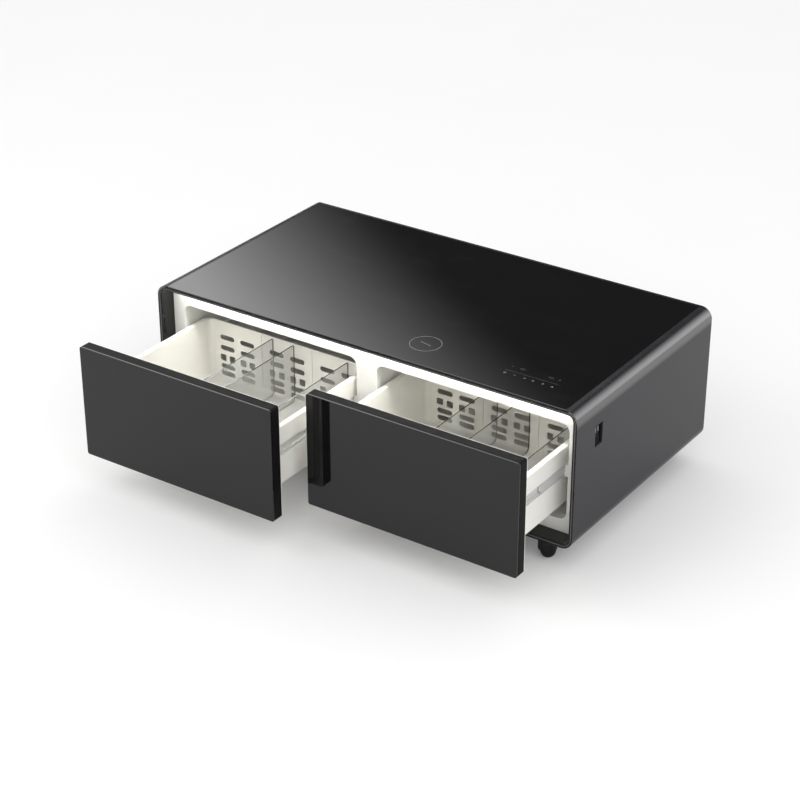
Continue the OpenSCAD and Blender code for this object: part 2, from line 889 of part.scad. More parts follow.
module drip_tray() {
    tray_w = comp_d * 0.9;
    tray_h = 14;
    tray_t = 2;
    color([0.75, 0.76, 0.76])
        translate([comp_x, mach_mid_y, comp_z0 + comp_h])
            difference() {
                translate([-tray_w / 2, -tray_w / 2, 0])
                    cube([tray_w, tray_w, tray_h]);
                translate([-tray_w / 2 + tray_t, -tray_w / 2 + tray_t, tray_t])
                    cube([tray_w - 2 * tray_t, tray_w - 2 * tray_t, tray_h]);
                for (sx = [-1, 1])
                    translate([sx * comp_d / 4, 0, -cut])
                        cylinder(r = 2 * pipe_r, h = tray_h + 2 * cut);
            }
}

module control_board() {
    board_w = 160;
    stand = 8;
    part_t = 14;
    color([0.1, 0.35, 0.2])
        translate([0, foam_y1, inner_z1 - 2 * stand - board_h / 2]) {
            for (sx = [-1, 1], sz = [-1, 1])
                translate([sx * (board_w / 2 - stand), 0, sz * (board_h / 2 - stand)])
                    rotate([-90, 0, 0])
                        cylinder(d = stand, h = stand);
            translate([-board_w / 2, stand, -board_h / 2])
                cube([board_w, board_t, board_h]);
            for (i = [-1, 0, 1])
                translate([i * board_w / 3 - part_t / 2, stand, -board_h / 3])
                    cube([part_t, part_t, board_h / 4]);
            for (i = [-1, 1])
                translate([i * board_w / 4, stand, board_h / 4])
                    rotate([-90, 0, 0])
                        cylinder(d = part_t, h = 2 * part_t);
        }
}

module power_supply() {
    box_w = 130;
    box_d = 60;
    box_h = 70;
    color([0.6, 0.61, 0.62])
        translate([-box_w / 2, mach_mid_y - box_d / 2, inner_z0])
            difference() {
                cube([box_w, box_d, box_h]);
                for (i = [-3 : 3])
                    translate([box_w / 2 + i * box_w / 8, box_d - shell_t, box_h / 4])
                        cube([box_w / 20, 2 * shell_t, box_h / 2]);
            }
}

module touch_board() {
    color([0.07, 0.2, 0.12]) {
        translate([touch_x - touch_w / 2, front_y + touch_in_y - touch_d / 2,
            body_h - glass_t - board_t])
            cube([touch_w, touch_d, board_t]);
        for (i = [-1, 0, 1])
            translate([touch_x + i * touch_w / 4 - chip_t * 2, front_y + touch_in_y - chip_t * 2,
                body_h - glass_t - board_t - chip_t])
                cube([chip_t * 4, chip_t * 4, chip_t]);
    }
}

module wireless_charger() {
    coil_step = charge_ring_d / 14;
    color([0.8, 0.5, 0.3])
        translate([charger_x, front_y + charger_in_y, body_h - glass_t - charger_t])
            difference() {
                cylinder(r = charger_r, h = charger_t, $fn = round_fn);
                for (i = [1 : 5])
                    translate([0, 0, charger_t - board_t])
                        difference() {
                            cylinder(r = coil_step * (i + 0.4), h = charger_t, $fn = round_fn);
                            translate([0, 0, -cut])
                                cylinder(r = coil_step * i, h = charger_t + 2 * cut, $fn = round_fn);
                        }
            }
}

function led_len() = body_w - 2 * rim_w - 2 * rim_r - 2 * led_in;

module led_strip() {
    lamp = 3;
    count = 24;
    pitch = led_len() / count;
    color([0.95, 0.95, 0.9])
        translate([0, recess_y - led_back - diffuser_w / 2, body_h - rim_top]) {
            translate([-led_len() / 2, -led_w / 2, -led_t])
                cube([led_len(), led_w, led_t]);
            for (i = [0 : count - 1])
                translate([-led_len() / 2 + (i + 1 / 2) * pitch - lamp / 2, -lamp / 2,
                    -led_t - lamp_out])
                    cube([lamp, lamp, led_t]);
        }
}

module led_diffuser() {
    color([0.98, 0.98, 0.96, 0.7])
        translate([-led_len() / 2, recess_y - led_back - diffuser_w, body_h - rim_top - diffuser_t])
            difference() {
                cube([led_len(), diffuser_w, diffuser_t]);
                translate([-cut, diffuser_wall, diffuser_wall])
                    cube([led_len() + 2 * cut, diffuser_w - 2 * diffuser_wall, diffuser_t]);
            }
}

module socket_bezel() {
    color([0.09, 0.09, 0.095])
        difference() {
            socket_prism(half_w - bezel_t, half_w, bezel_rim);
            socket_prism(half_w - bezel_t - cut, half_w + cut, -bezel_rim);
        }
}

module socket_module() {
    x1 = half_w - bezel_t;
    color([0.04, 0.04, 0.045])
        difference() {
            socket_prism(x1 - socket_depth, x1, -clear);
            socket_prism(x1 - socket_recess, x1 + cut, -2 * bezel_rim);
            for (sy = [-1, 1])
                translate([x1 - usb_deep, front_y + socket_in_y + sy * usb_in_y - usb_w / 2,
                    socket_z + usb_w])
                    cube([usb_deep + cut, usb_w, usb_h]);
            translate([0, front_y + socket_in_y, socket_z - socket_h / 5])
                for (turn = [0, 120, 240])
                    rotate([turn, 0, 0])
                        translate([x1 - usb_deep, -outlet_slot / 2, outlet_r / 2])
                            cube([usb_deep + cut, outlet_slot, outlet_r / 3]);
        }
}

module power_inlet() {
    back = panel_y0 + panel_t;
    blade_w = 4;
    blade_th = 2;
    color([0.05, 0.05, 0.055])
        translate([inlet_x, 0, inlet_z]) {
            difference() {
                union() {
                    prism_y(back, back + panel_inset / 2)
                        round_rect(inlet_w, inlet_h, bezel_r);
                    prism_y(back - inlet_deep - panel_inset, back)
                        square([inlet_hole_w + 2 * bezel_rim, inlet_hole_h + 2 * bezel_rim],
                            center = true);
                }
                prism_y(back - inlet_deep, back + panel_inset)
                    square([inlet_hole_w, inlet_hole_h], center = true);
                for (sx = [-1, 1])
                    translate([sx * (inlet_w / 2 - bezel_rim - screw_r), back + cut, 0])
                        rotate([90, 0, 0])
                            translate([0, 0, -panel_inset])
                                cylinder(r = screw_r, h = 2 * panel_inset);
            }
            for (p = [[-pin_in, -pin_low], [0, pin_high], [pin_in, -pin_low]])
                translate([p[0] - blade_th / 2, back - inlet_deep - cut, p[1] - blade_w / 2])
                    cube([blade_th, blade_len + cut, blade_w]);
        }
}

// A C section sheet, its web at x = web_x and its lips reaching back by lip, about the slide's middle
module c_section(web_x, h, lip, way) {
    translate([way > 0 ? web_x - slide_sheet : web_x, -h / 2])
        square([slide_sheet, h]);
    for (sz = [-1, 1])
        translate([way > 0 ? web_x - lip : web_x, sz > 0 ? h / 2 - slide_sheet : -h / 2])
            square([lip, slide_sheet]);
}

// Mirrors a slide's outline, drawn on the right side of a tub, to both its sides
module both_slides(y0, y1) {
    for (sx = [0, 1])
        mirror([sx, 0, 0])
            prism_y(y0, y1)
                translate([groove_x, slide_z])
                    children();
}

module slide_brackets() {
    color([0.88, 0.88, 0.86])
        both_sides()
            both_slides(slide_y0, slide_y0 + slide_len)
                translate([slide_t + clear / 2, -slide_h / 2])
                    square([bracket_t + clear / 2, slide_h]);
}

module slide_outer_members() {
    color([0.72, 0.73, 0.74])
        both_sides()
            both_slides(slide_y0, slide_y0 + slide_len)
                c_section(slide_t + clear / 2, slide_h, slide_lip, 1);
}

module slide_middles(side, open) {
    color([0.7, 0.71, 0.72])
        translate([side * drawer_x, -open / 2, 0])
            both_slides(slide_y0, slide_y0 + slide_len)
                c_section(slide_t + clear / 2 - slide_sheet - member_gap, mid_h, slide_lip, 1);
}

module slide_inners(side, open) {
    color([0.7, 0.71, 0.72])
        translate([side * drawer_x, -open, 0])
            both_slides(slide_y0, slide_y0 + slide_len)
                c_section(0, small_h, slide_lip, -1);
}

module caster_plates() {
    color([0.3, 0.3, 0.31])
        difference() {
            for (c = caster_turn)
                translate([c[0] * caster_x, c[1] * caster_y, 0])
                    difference() {
                        union() {
                            translate([0, 0, plate_z0])
                                linear_extrude(plate_t)
                                    round_rect(plate_w, plate_w, corner_r / 4);
                            translate([0, 0, plate_z0 - boss_h])
                                cylinder(r = boss_r, h = boss_h + plate_t / 2);
                        }
                        translate([0, 0, plate_z0 - boss_h - cut])
                            cylinder(r = pin_r + snug, h = boss_h + plate_t + 2 * cut);
                    }
            at_caster_screws()
                translate([0, 0, plate_z0 - cut])
                    cylinder(r = screw_r + snug, h = plate_t + 2 * cut);
        }
}

module cabinet_screws() {
    color([0.45, 0.46, 0.47]) {
        at_caster_screws() {
            translate([0, 0, plate_z0 - screw_head_h])
                cylinder(r = screw_head_r, h = screw_head_h);
            translate([0, 0, plate_z0 - screw_head_h])
                cylinder(r = screw_r, h = screw_head_h + plate_t + caster_screw_len);
        }
        for (p = panel_screw_places())
            translate([p[0], panel_y0 + panel_t, p[1]])
                rotate([-90, 0, 0]) {
                    cylinder(r = screw_head_r, h = screw_head_h);
                    translate([0, 0, -panel_t - screw_head_h])
                        cylinder(r = screw_r, h = panel_t + 2 * screw_head_h);
                }
    }
}

// A caster's hood, turning on its pin, with the axle held in its two walls
module caster_hood(c) {
    color([0.04, 0.04, 0.045])
        at_caster(c) {
            difference() {
                union() {
                    translate([0, 0, hood_low])
                        cylinder(r = hood_r, h = hood_top - hood_low, $fn = round_fn);
                    cylinder(r = pin_r, h = floor_gap - clear);
                }
                translate([0, 0, -cut])
                    cylinder(r = hood_r_in, h = hood_top - hood_cap_t + cut, $fn = round_fn);
            }
            translate([-hood_r_in - hood_t / 2, caster_trail, wheel_r])
                rotate([0, 90, 0])
                    cylinder(r = axle_r, h = 2 * hood_r_in + hood_t);
        }
}

module wheel(c) {
    color([0.03, 0.03, 0.032])
        at_caster(c)
            translate([0, caster_trail, wheel_r])
                rotate([0, 90, 0])
                    rotate_extrude($fn = round_fn)
                        difference() {
                            union() {
                                translate([0, -wheel_w / 2])
                                    square([wheel_side_r, wheel_w]);
                                translate([0, -wheel_flat / 2])
                                    square([wheel_r, wheel_flat]);
                                for (s = [-1, 1])
                                    translate([wheel_side_r, s * wheel_flat / 2])
                                        intersection() {
                                            circle(wheel_round, $fn = round_fn);
                                            translate([0, -wheel_round])
                                                square([wheel_round, 2 * wheel_round]);
                                        }
                            }
                            translate([-cut, -wheel_w])
                                square([axle_r + snug + cut, 2 * wheel_w]);
                        }
}

// Places what belongs to one drawer: its middle line, and its front as far out as it is open
module on_drawer(side, open) {
    translate([side * drawer_x, front_y - open, 0])
        children();
}

// A door's outline in X and Z, less a margin
module door_outline(less) {
    translate([0, door_mid])
        round_rect(door_w - 2 * less, door_h - 2 * less, max(door_r - less, door_bevel));
}

module door_glass(side, open) {
    b = door_bevel;
    t = door_glass_t;
    color([0.04, 0.04, 0.045])
        on_drawer(side, open)
            intersection() {
                prism_y(0, t)
                    door_outline(0);
                translate([0, 0, door_z0 - cut])
                    linear_extrude(door_h + 2 * cut)
                        polygon([[-door_w / 2, t], [-door_w / 2, b], [-door_w / 2 + b, 0],
                            [door_w / 2 - b, 0], [door_w / 2, b], [door_w / 2, t]]);
                translate([-door_w / 2 - cut, 0, 0])
                    rotate([90, 0, 90])
                        linear_extrude(door_w + 2 * cut)
                            polygon([[t, door_z0], [b, door_z0], [0, door_z0 + b],
                                [0, door_z0 + door_h - b], [b, door_z0 + door_h],
                                [t, door_z0 + door_h]]);
            }
}

module door_frame(side, open) {
    color([0.07, 0.07, 0.075])
        on_drawer(side, open)
            prism_y(door_glass_t, door_t - door_panel_t)
                difference() {
                    door_outline(0);
                    door_outline(door_wall);
                }
}

module door_foam(side, open) {
    color([0.93, 0.86, 0.6])
        on_drawer(side, open)
            prism_y(door_glass_t, door_t - door_panel_t)
                door_outline(door_wall + clear);
}

module door_panel(side, open) {
    color([0.93, 0.93, 0.9])
        on_drawer(side, open) {
            prism_y(door_t - door_panel_t, door_t)
                door_outline(clear);
            prism_y(door_t, door_t + plug_d)
                translate([0, (tub_z0 + tub_z1) / 2])
                    round_rect(wall_w - 2 * plug_in, tub_z1 - tub_z0 - 2 * plug_in, opening_r / 2);
        }
}

module door_seal(side, open) {
    seal_end = recess_d - clear;
    color([0.75, 0.75, 0.73])
        on_drawer(side, open)
            for (part = [[door_t, door_t + seal_base, 0], [door_t + seal_base, seal_end, 1]])
                prism_y(part[0], part[1])
                    difference() {
                        opening_outline(seal_in + seal_w - part[2] * (seal_w - seal_lip_w) / 2);
                        opening_outline(seal_in + part[2] * (seal_w - seal_lip_w) / 2);
                    }
}

// A tub's outline seen from above, w wide, from its front to its back, shrunk by a wall
module tub_plan(w, less) {
    translate([0, (tub_y0 + tub_y1) / 2])
        round_rect(w - 2 * less, tub_d - 2 * less, tub_r - less);
}

// A flat cup outline, w wide from z0 to z1, with its two lower corners round
module cup_outline(w, z0, z1, r) {
    translate([-w / 2, z0 + r])
        square([w, z1 - z0 - r]);
    translate([-w / 2 + r, z0])
        square([w - 2 * r, 2 * r]);
    for (s = [-1, 1])
        translate([s * (w / 2 - r), z0 + r])
            circle(r);
}

// A tub's body up to z1, with all its lower edges and upright corners round, shrunk by a wall
module tub_body(less, z1) {
    z0 = tub_z0 + less;
    mid_y = (tub_y0 + tub_y1) / 2;
    intersection() {
        translate([0, 0, z0])
            linear_extrude(z1 - z0)
                tub_plan(wall_w, less);
        prism_y(tub_y0, tub_y1)
            cup_outline(wall_w - 2 * less, z0, z1, tub_low_r - less);
        translate([-wall_w / 2, mid_y, 0])
            rotate([90, 0, 90])
                linear_extrude(wall_w)
                    cup_outline(tub_d - 2 * less, z0, z1, tub_low_r - less);
    }
}

// Air slots and square holes in a tub's back wall
module tub_slots() {
    height = tub_z1 - tub_z0;
    for (column = slot_column_shares) {
        for (row = slot_row_shares)
            translate([column * inner_w, tub_z0 + row * height])
                slot_outline(slot_w, slot_h);
        for (s = [-1, 1])
            translate([column * inner_w + s * hole_gap / 2, tub_z0 + hole_row_share * height])
                round_rect(hole_w, hole_w, hole_r);
    }
}

// A band round a tub, w wide, closed on top by a ledge as thick as the wall
module tub_band(w, z0, z1) {
    difference() {
        translate([0, 0, z0])
            linear_extrude(z1 - z0)
                tub_plan(w, 0);
        translate([0, 0, z0 - cut])
            linear_extrude(z1 - z0 - tub_t + cut)
                tub_plan(w, tub_t);
    }
}

module tub(side, open) {
    rib_low = tub_z0 + tub_low_r;
    rib_high = tub_z1 - tub_t;
    color([0.95, 0.94, 0.9])
        on_drawer(side, open)
            difference() {
                union() {
                    difference() {
                        union() {
                            tub_body(0, tub_z1);
                            tub_band(tub_w, apron_z0, tub_z1);
                            tub_band(skirt_w, skirt_z0, skirt_z1);
                        }
                        tub_body(tub_t, tub_z1 + cut);
                    }
                    for (s = [-1, 1])
                        translate([s * slot_rib_share * inner_w - slot_rib / 2,
                            tub_y1 - tub_t - slot_rib, rib_low])
                            cube([slot_rib, slot_rib + snug, rib_high - rib_low]);
                }
                prism_y(tub_y1 - 2 * tub_t, tub_y1 + cut)
                    tub_slots();
            }
}

module dividers(side, open, shares) {
    inner_d = tub_d - 2 * tub_t - 2 * clear;
    color([0.6, 0.63, 0.63, 0.5])
        on_drawer(side, open)
            for (share = shares)
                translate([share * inner_w - divider_t / 2, (tub_y0 + tub_y1) / 2, 0])
                    rotate([90, 0, 90])
                        linear_extrude(divider_t)
                            cup_outline(inner_d, tub_z0 + tub_t, tub_z1 - divider_drop, tub_low_r);
}

placed() outer_shell();
placed() glass_top();
placed() front_rim();
placed() liner_flange();
placed() cavity_liner(-1);  // left_cavity_liner
placed() cavity_liner(1);  // right_cavity_liner
placed() foam_insulation();
placed() rear_panel();
placed() base_rails();
placed() duct_covers();
placed() evaporators();
placed() fan_motors();
placed() cavity_fan_rotor(-1);  // left_fan_rotor
placed() cavity_fan_rotor(1);  // right_fan_rotor
placed() compressor();
placed() compressor_bushes();
placed() condenser();
placed() condenser_fan_frame();
placed() condenser_fan_rotor();
placed() refrigerant_pipes();
placed() drip_tray();
placed() control_board();
placed() power_supply();
placed() touch_board();
placed() wireless_charger();
placed() led_strip();
placed() led_diffuser();
placed() socket_bezel();
placed() socket_module();
placed() power_inlet();
placed() slide_brackets();
placed() slide_outer_members();
placed() caster_plates();
placed() cabinet_screws();
placed() slide_middles(-1, left_open);  // left_slide_middles
placed() slide_middles(1, right_open);  // right_slide_middles
placed() door_glass(-1, left_open);  // left_door_glass
placed() door_frame(-1, left_open);  // left_door_frame
placed() door_foam(-1, left_open);  // left_door_foam
placed() door_panel(-1, left_open);  // left_door_panel
placed() door_seal(-1, left_open);  // left_door_seal
placed() tub(-1, left_open);  // left_tub
placed() dividers(-1, left_open, left_divider_shares);  // left_dividers
placed() slide_inners(-1, left_open);  // left_slide_inners
placed() door_glass(1, right_open);  // right_door_glass
placed() door_frame(1, right_open);  // right_door_frame
placed() door_foam(1, right_open);  // right_door_foam
placed() door_panel(1, right_open);  // right_door_panel
placed() door_seal(1, right_open);  // right_door_seal
placed() tub(1, right_open);  // right_tub
placed() dividers(1, right_open, right_divider_shares);  // right_dividers
placed() slide_inners(1, right_open);  // right_slide_inners
placed() caster_hood(caster_turn[0]);  // front_left_caster_hood
placed() caster_hood(caster_turn[1]);  // front_right_caster_hood
placed() caster_hood(caster_turn[2]);  // rear_left_caster_hood
placed() caster_hood(caster_turn[3]);  // rear_right_caster_hood
placed() wheel(caster_turn[0]);  // front_left_wheel
placed() wheel(caster_turn[1]);  // front_right_wheel
placed() wheel(caster_turn[2]);  // rear_left_wheel
placed() wheel(caster_turn[3]);  // rear_right_wheel

// Brings the body frame, whose origin is under the cabinet's middle, to the row's origin
module placed() {
    translate([0, pose_shift, 0])
        children();
}
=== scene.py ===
"""Refrigerator coffee table: the looks of its cabinet, drawers, slides, casters and cooling unit.

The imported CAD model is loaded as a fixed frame. Each operator below builds or finishes one piece,
or one group of like pieces, in metres and in the frame's own coordinates. Front is -Y and Z is up.
"""

import json
import math

import bmesh
import bpy
import numpy as np
from bpy.props import FloatProperty, FloatVectorProperty, IntProperty, PointerProperty
from mathutils import Euler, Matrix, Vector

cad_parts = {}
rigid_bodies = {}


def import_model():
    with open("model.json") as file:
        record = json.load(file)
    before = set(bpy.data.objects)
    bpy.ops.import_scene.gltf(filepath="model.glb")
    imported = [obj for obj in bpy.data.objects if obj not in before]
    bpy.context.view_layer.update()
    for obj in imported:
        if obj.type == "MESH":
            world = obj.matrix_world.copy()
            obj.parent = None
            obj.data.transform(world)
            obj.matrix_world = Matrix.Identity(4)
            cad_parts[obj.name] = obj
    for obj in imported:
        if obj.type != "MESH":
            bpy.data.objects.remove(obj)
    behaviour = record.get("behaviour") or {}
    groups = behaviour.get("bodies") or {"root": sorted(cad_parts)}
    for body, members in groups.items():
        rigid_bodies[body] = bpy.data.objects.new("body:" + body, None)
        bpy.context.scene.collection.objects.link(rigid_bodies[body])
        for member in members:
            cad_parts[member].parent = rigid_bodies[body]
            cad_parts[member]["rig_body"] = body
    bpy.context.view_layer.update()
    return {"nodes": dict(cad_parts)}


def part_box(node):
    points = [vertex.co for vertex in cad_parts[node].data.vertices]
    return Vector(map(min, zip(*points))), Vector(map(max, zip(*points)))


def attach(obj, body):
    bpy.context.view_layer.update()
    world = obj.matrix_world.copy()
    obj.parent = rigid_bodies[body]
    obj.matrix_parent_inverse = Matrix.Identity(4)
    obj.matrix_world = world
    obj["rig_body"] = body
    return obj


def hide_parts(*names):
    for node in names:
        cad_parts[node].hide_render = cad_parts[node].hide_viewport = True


bl_info = {
    "name": "Refrigerator Coffee Table",
    "version": (1, 0, 0),
    "blender": (4, 5, 0),
    "location": "View3D > Sidebar > Fridge Table",
    "description": "Builds the looks of a refrigerator coffee table round its CAD frame",
    "category": "Object",
}

for spare in list(bpy.data.objects):
    bpy.data.objects.remove(spare)
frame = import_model()

MM = 0.001
MERGE = 2e-6
SIDES = ("left", "right")
# Middles of the two openings in X, and their common middle in Z, size and corner
MIDDLES = (-0.3165, 0.3165)
OPENING_Z, OPENING_WIDE, OPENING_HIGH, OPENING_R = 0.2465, 0.570, 0.269, 0.022
DOOR_CORNER = 0.006
# Half a tub's width at its slides, and the slides' height
TUB_HALF, SLIDE_Z = 0.262, 0.251
# How far apart a tub's columns and sheets are, as parts of its inner width
TUB_INNER = 0.519
AXLE_Z = 0.020


# ---------------------------------------------------------------- sizes and colours


def length(name, description, default, low=0.0, high=1.0):
    """A length property, in metres."""
    return FloatProperty(name=name, description=description, default=default, min=low, max=high,
                         precision=4, subtype="DISTANCE", unit="LENGTH")


def colour(name, description, default):
    """A colour property, linear."""
    return FloatVectorProperty(name=name, description=description, default=default, size=3,
                               min=0.0, max=1.0, subtype="COLOR")


def share(name, description, default, high=1.0):
    """A plain number from nought up."""
    return FloatProperty(name=name, description=description, default=default, min=0.0, max=high)


class FridgeTableSizes(bpy.types.PropertyGroup):
    """Sizes of the details that dress the CAD frame."""

    glass_arris: length("Glass arris", "Radius of the polished edge of the glass top", 0.0017)
    door_arris: length("Door arris", "Radius of the polished edge of a door's glass", 0.0012)
    print_height: length("Print height", "Thickness of the printed marks on the glass", 0.00006)
    ring_line: length("Ring line", "Width of the charging ring's line", 0.0010)
    icon_line: length("Icon line", "Width of the lines of the touch icons", 0.0008)
    icon_size: length("Icon size", "Height of a touch icon", 0.0066)
    rim_round: length("Rim round", "Radius of the rim's inner front edge", 0.0022)
    rim_groove: length("Rim groove", "Depth of the groove in the rim's front face", 0.0009)
    frame_gap: length("Frame gap", "Depth of the shadow gap behind a door's glass", 0.0014)
    flange_round: length("Flange round", "Radius of the flange's lips", 0.0012)
    slot_edge: length("Slot edge", "Rounding of the air slots' edges", 0.0004)
    ball_r: length("Ball radius", "Radius of a slide's balls", 0.0009)
    wheel_groove: length("Wheel groove", "Depth of the groove between a caster's treads", 0.0035)
    balls: IntProperty(name="Balls", description="Balls shown in one row of a slide", default=14,
                       min=2, max=60)


class FridgeTableColours(bpy.types.PropertyGroup):
    """Base colours of the finishes."""

    paint: colour("Shell paint", "Coated sheet of the cabinet", (0.0095, 0.0092, 0.0130))
    glass: colour("Black glass", "Printed back of the glass", (0.0050, 0.0050, 0.0056))
    gloss: colour("Gloss plastic", "Front rim and recess", (0.0080, 0.0080, 0.0080))
    textured: colour("Textured plastic", "Inner frames and fans", (0.016, 0.016, 0.017))
    hood: colour("Hood plastic", "Caster hoods and socket", (0.0045, 0.0045, 0.0050))
    # The bead in the rim's groove is a raised part whose light grey is a painted highlight along
    # the rim's front face
    highlight_bead: colour("Rim highlight bead", "Satin line round the recess", (0.105, 0.105, 0.110))
    white: colour("White plastic", "Tubs", (0.88, 0.865, 0.815))
    flange: colour("White flange", "Flange and liners", (0.88, 0.875, 0.84))
    smoke: colour("Smoked acrylic", "Dividers", (0.42, 0.43, 0.42))
    foam: colour("Foam", "Insulation", (0.80, 0.66, 0.34))
    zinc: colour("Zinc", "Slides", (0.70, 0.70, 0.69))
    dark_steel: colour("Coated steel", "Compressor and plates", (0.020, 0.020, 0.022))
    aluminium: colour("Aluminium", "Fins", (0.72, 0.73, 0.74))
    copper: colour("Copper", "Pipes", (0.72, 0.36, 0.21))
    board: colour("Solder mask", "Circuit boards", (0.012, 0.085, 0.035))
    lamp: colour("Lamp", "Diffuser of the lamp strip", (0.95, 0.95, 0.90))
    seal: colour("Door seal", "Soft grey seal", (0.40, 0.40, 0.385))
    rubber: colour("Black rubber", "Bushes", (0.018, 0.018, 0.018))
    wheel: colour("Wheel plastic", "Caster wheels", (0.005, 0.005, 0.0055))
    ink: colour("Ink", "Printed marks", (0.34, 0.34, 0.34))


class FridgeTableStage(bpy.types.PropertyGroup):
    """Camera, floor and lights."""

    camera_place: FloatVectorProperty(
        name="Camera place", description="Where the camera stands", size=3, subtype="XYZ",
        unit="LENGTH", default=(2.761874, -4.0045, 2.810307))
    camera_turn: FloatVectorProperty(
        name="Camera turn", description="How the camera is turned", size=3, subtype="EULER",
        unit="ROTATION",
        default=(math.radians(61.897), math.radians(0.028), math.radians(34.426)))
    lens: FloatProperty(name="Lens", description="Focal length of the camera, in millimetres",
                        default=93.9755, min=10.0)
    floor_colour: colour("Floor", "Pale floor", (0.86, 0.86, 0.86))
    floor_lift: share("Floor lift", "How much of the white backdrop shows in the floor", 0.10)
    sky: share("Sky", "Level of the soft light from all round", 0.94, 4.0)
    dark_sky: share("Dark sky", "What gloss shows where no panel stands", 0.045, 4.0)
    front_panel: share("Front panel", "Level of the wide panel at the front left", 2.6, 8.0)
    back_panel: share("Back panel", "Level of the panel at the back right", 1.7, 12.0)
    left_power: share("Left key power", "Power of the left key, in watts", 36.0, 1000.0)
    right_power: share("Right key power", "Power of the right key, in watts", 24.0, 1000.0)
    lamp_level: share("Lamp level", "Glow of the lamp strip's diffuser", 30.0, 50.0)


# ---------------------------------------------------------------- shapes as arrays


def span(node):
    """The lowest and highest corner of a CAD node, as two arrays of three numbers."""
    low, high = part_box(node)
    return np.array(low, float), np.array(high, float)


def rounded_loop(width, height, radius, steps=7, centre=(0.0, 0.0)):
    """A rectangle with round corners, anticlockwise from its right side.

    A corner's centre is (+-(width / 2 - r), +-(height / 2 - r)), and its points are that centre
    plus r times (cos a, sin a), with a running over the corner's own quarter turn. The radius may
    be four numbers: upper right, upper left, lower left, lower right."""
    radii = np.broadcast_to(np.asarray(radius, float), (4,))
    signs = np.array([(1, 1), (-1, 1), (-1, -1), (1, -1)], float)
    angle = np.arange(4)[:, None] * math.pi / 2 + np.linspace(0, math.pi / 2, steps + 1)[None, :]
    middles = signs * (np.array([width, height]) / 2 - radii[:, None])
    turn = np.stack([np.cos(angle), np.sin(angle)], -1)
    return (middles[:, None, :] + radii[:, None, None] * turn).reshape(-1, 2) + np.array(centre)


def on_xz(loop, y):
    """A flat loop stood up in X and Z at one Y."""
    return np.column_stack([loop[:, 0], np.full(len(loop), y), loop[:, 1]])


def on_xy(loop, z):
    """A flat loop laid in X and Y at one Z."""
    return np.column_stack([loop[:, 0], loop[:, 1], np.full(len(loop), z)])


def on_yz(loop, x):
    """A flat loop stood up in Y and Z at one X."""
    return np.column_stack([np.full(len(loop), x), loop[:, 0], loop[:, 1]])


def quarter(radius, count=5, start=0.0, stop=math.pi / 2):
    """Points of an arc about the origin: radius times (cos a, sin a), a from start to stop."""
    angle = np.linspace(start, stop, count)
    return radius * np.stack([np.cos(angle), np.sin(angle)], -1)


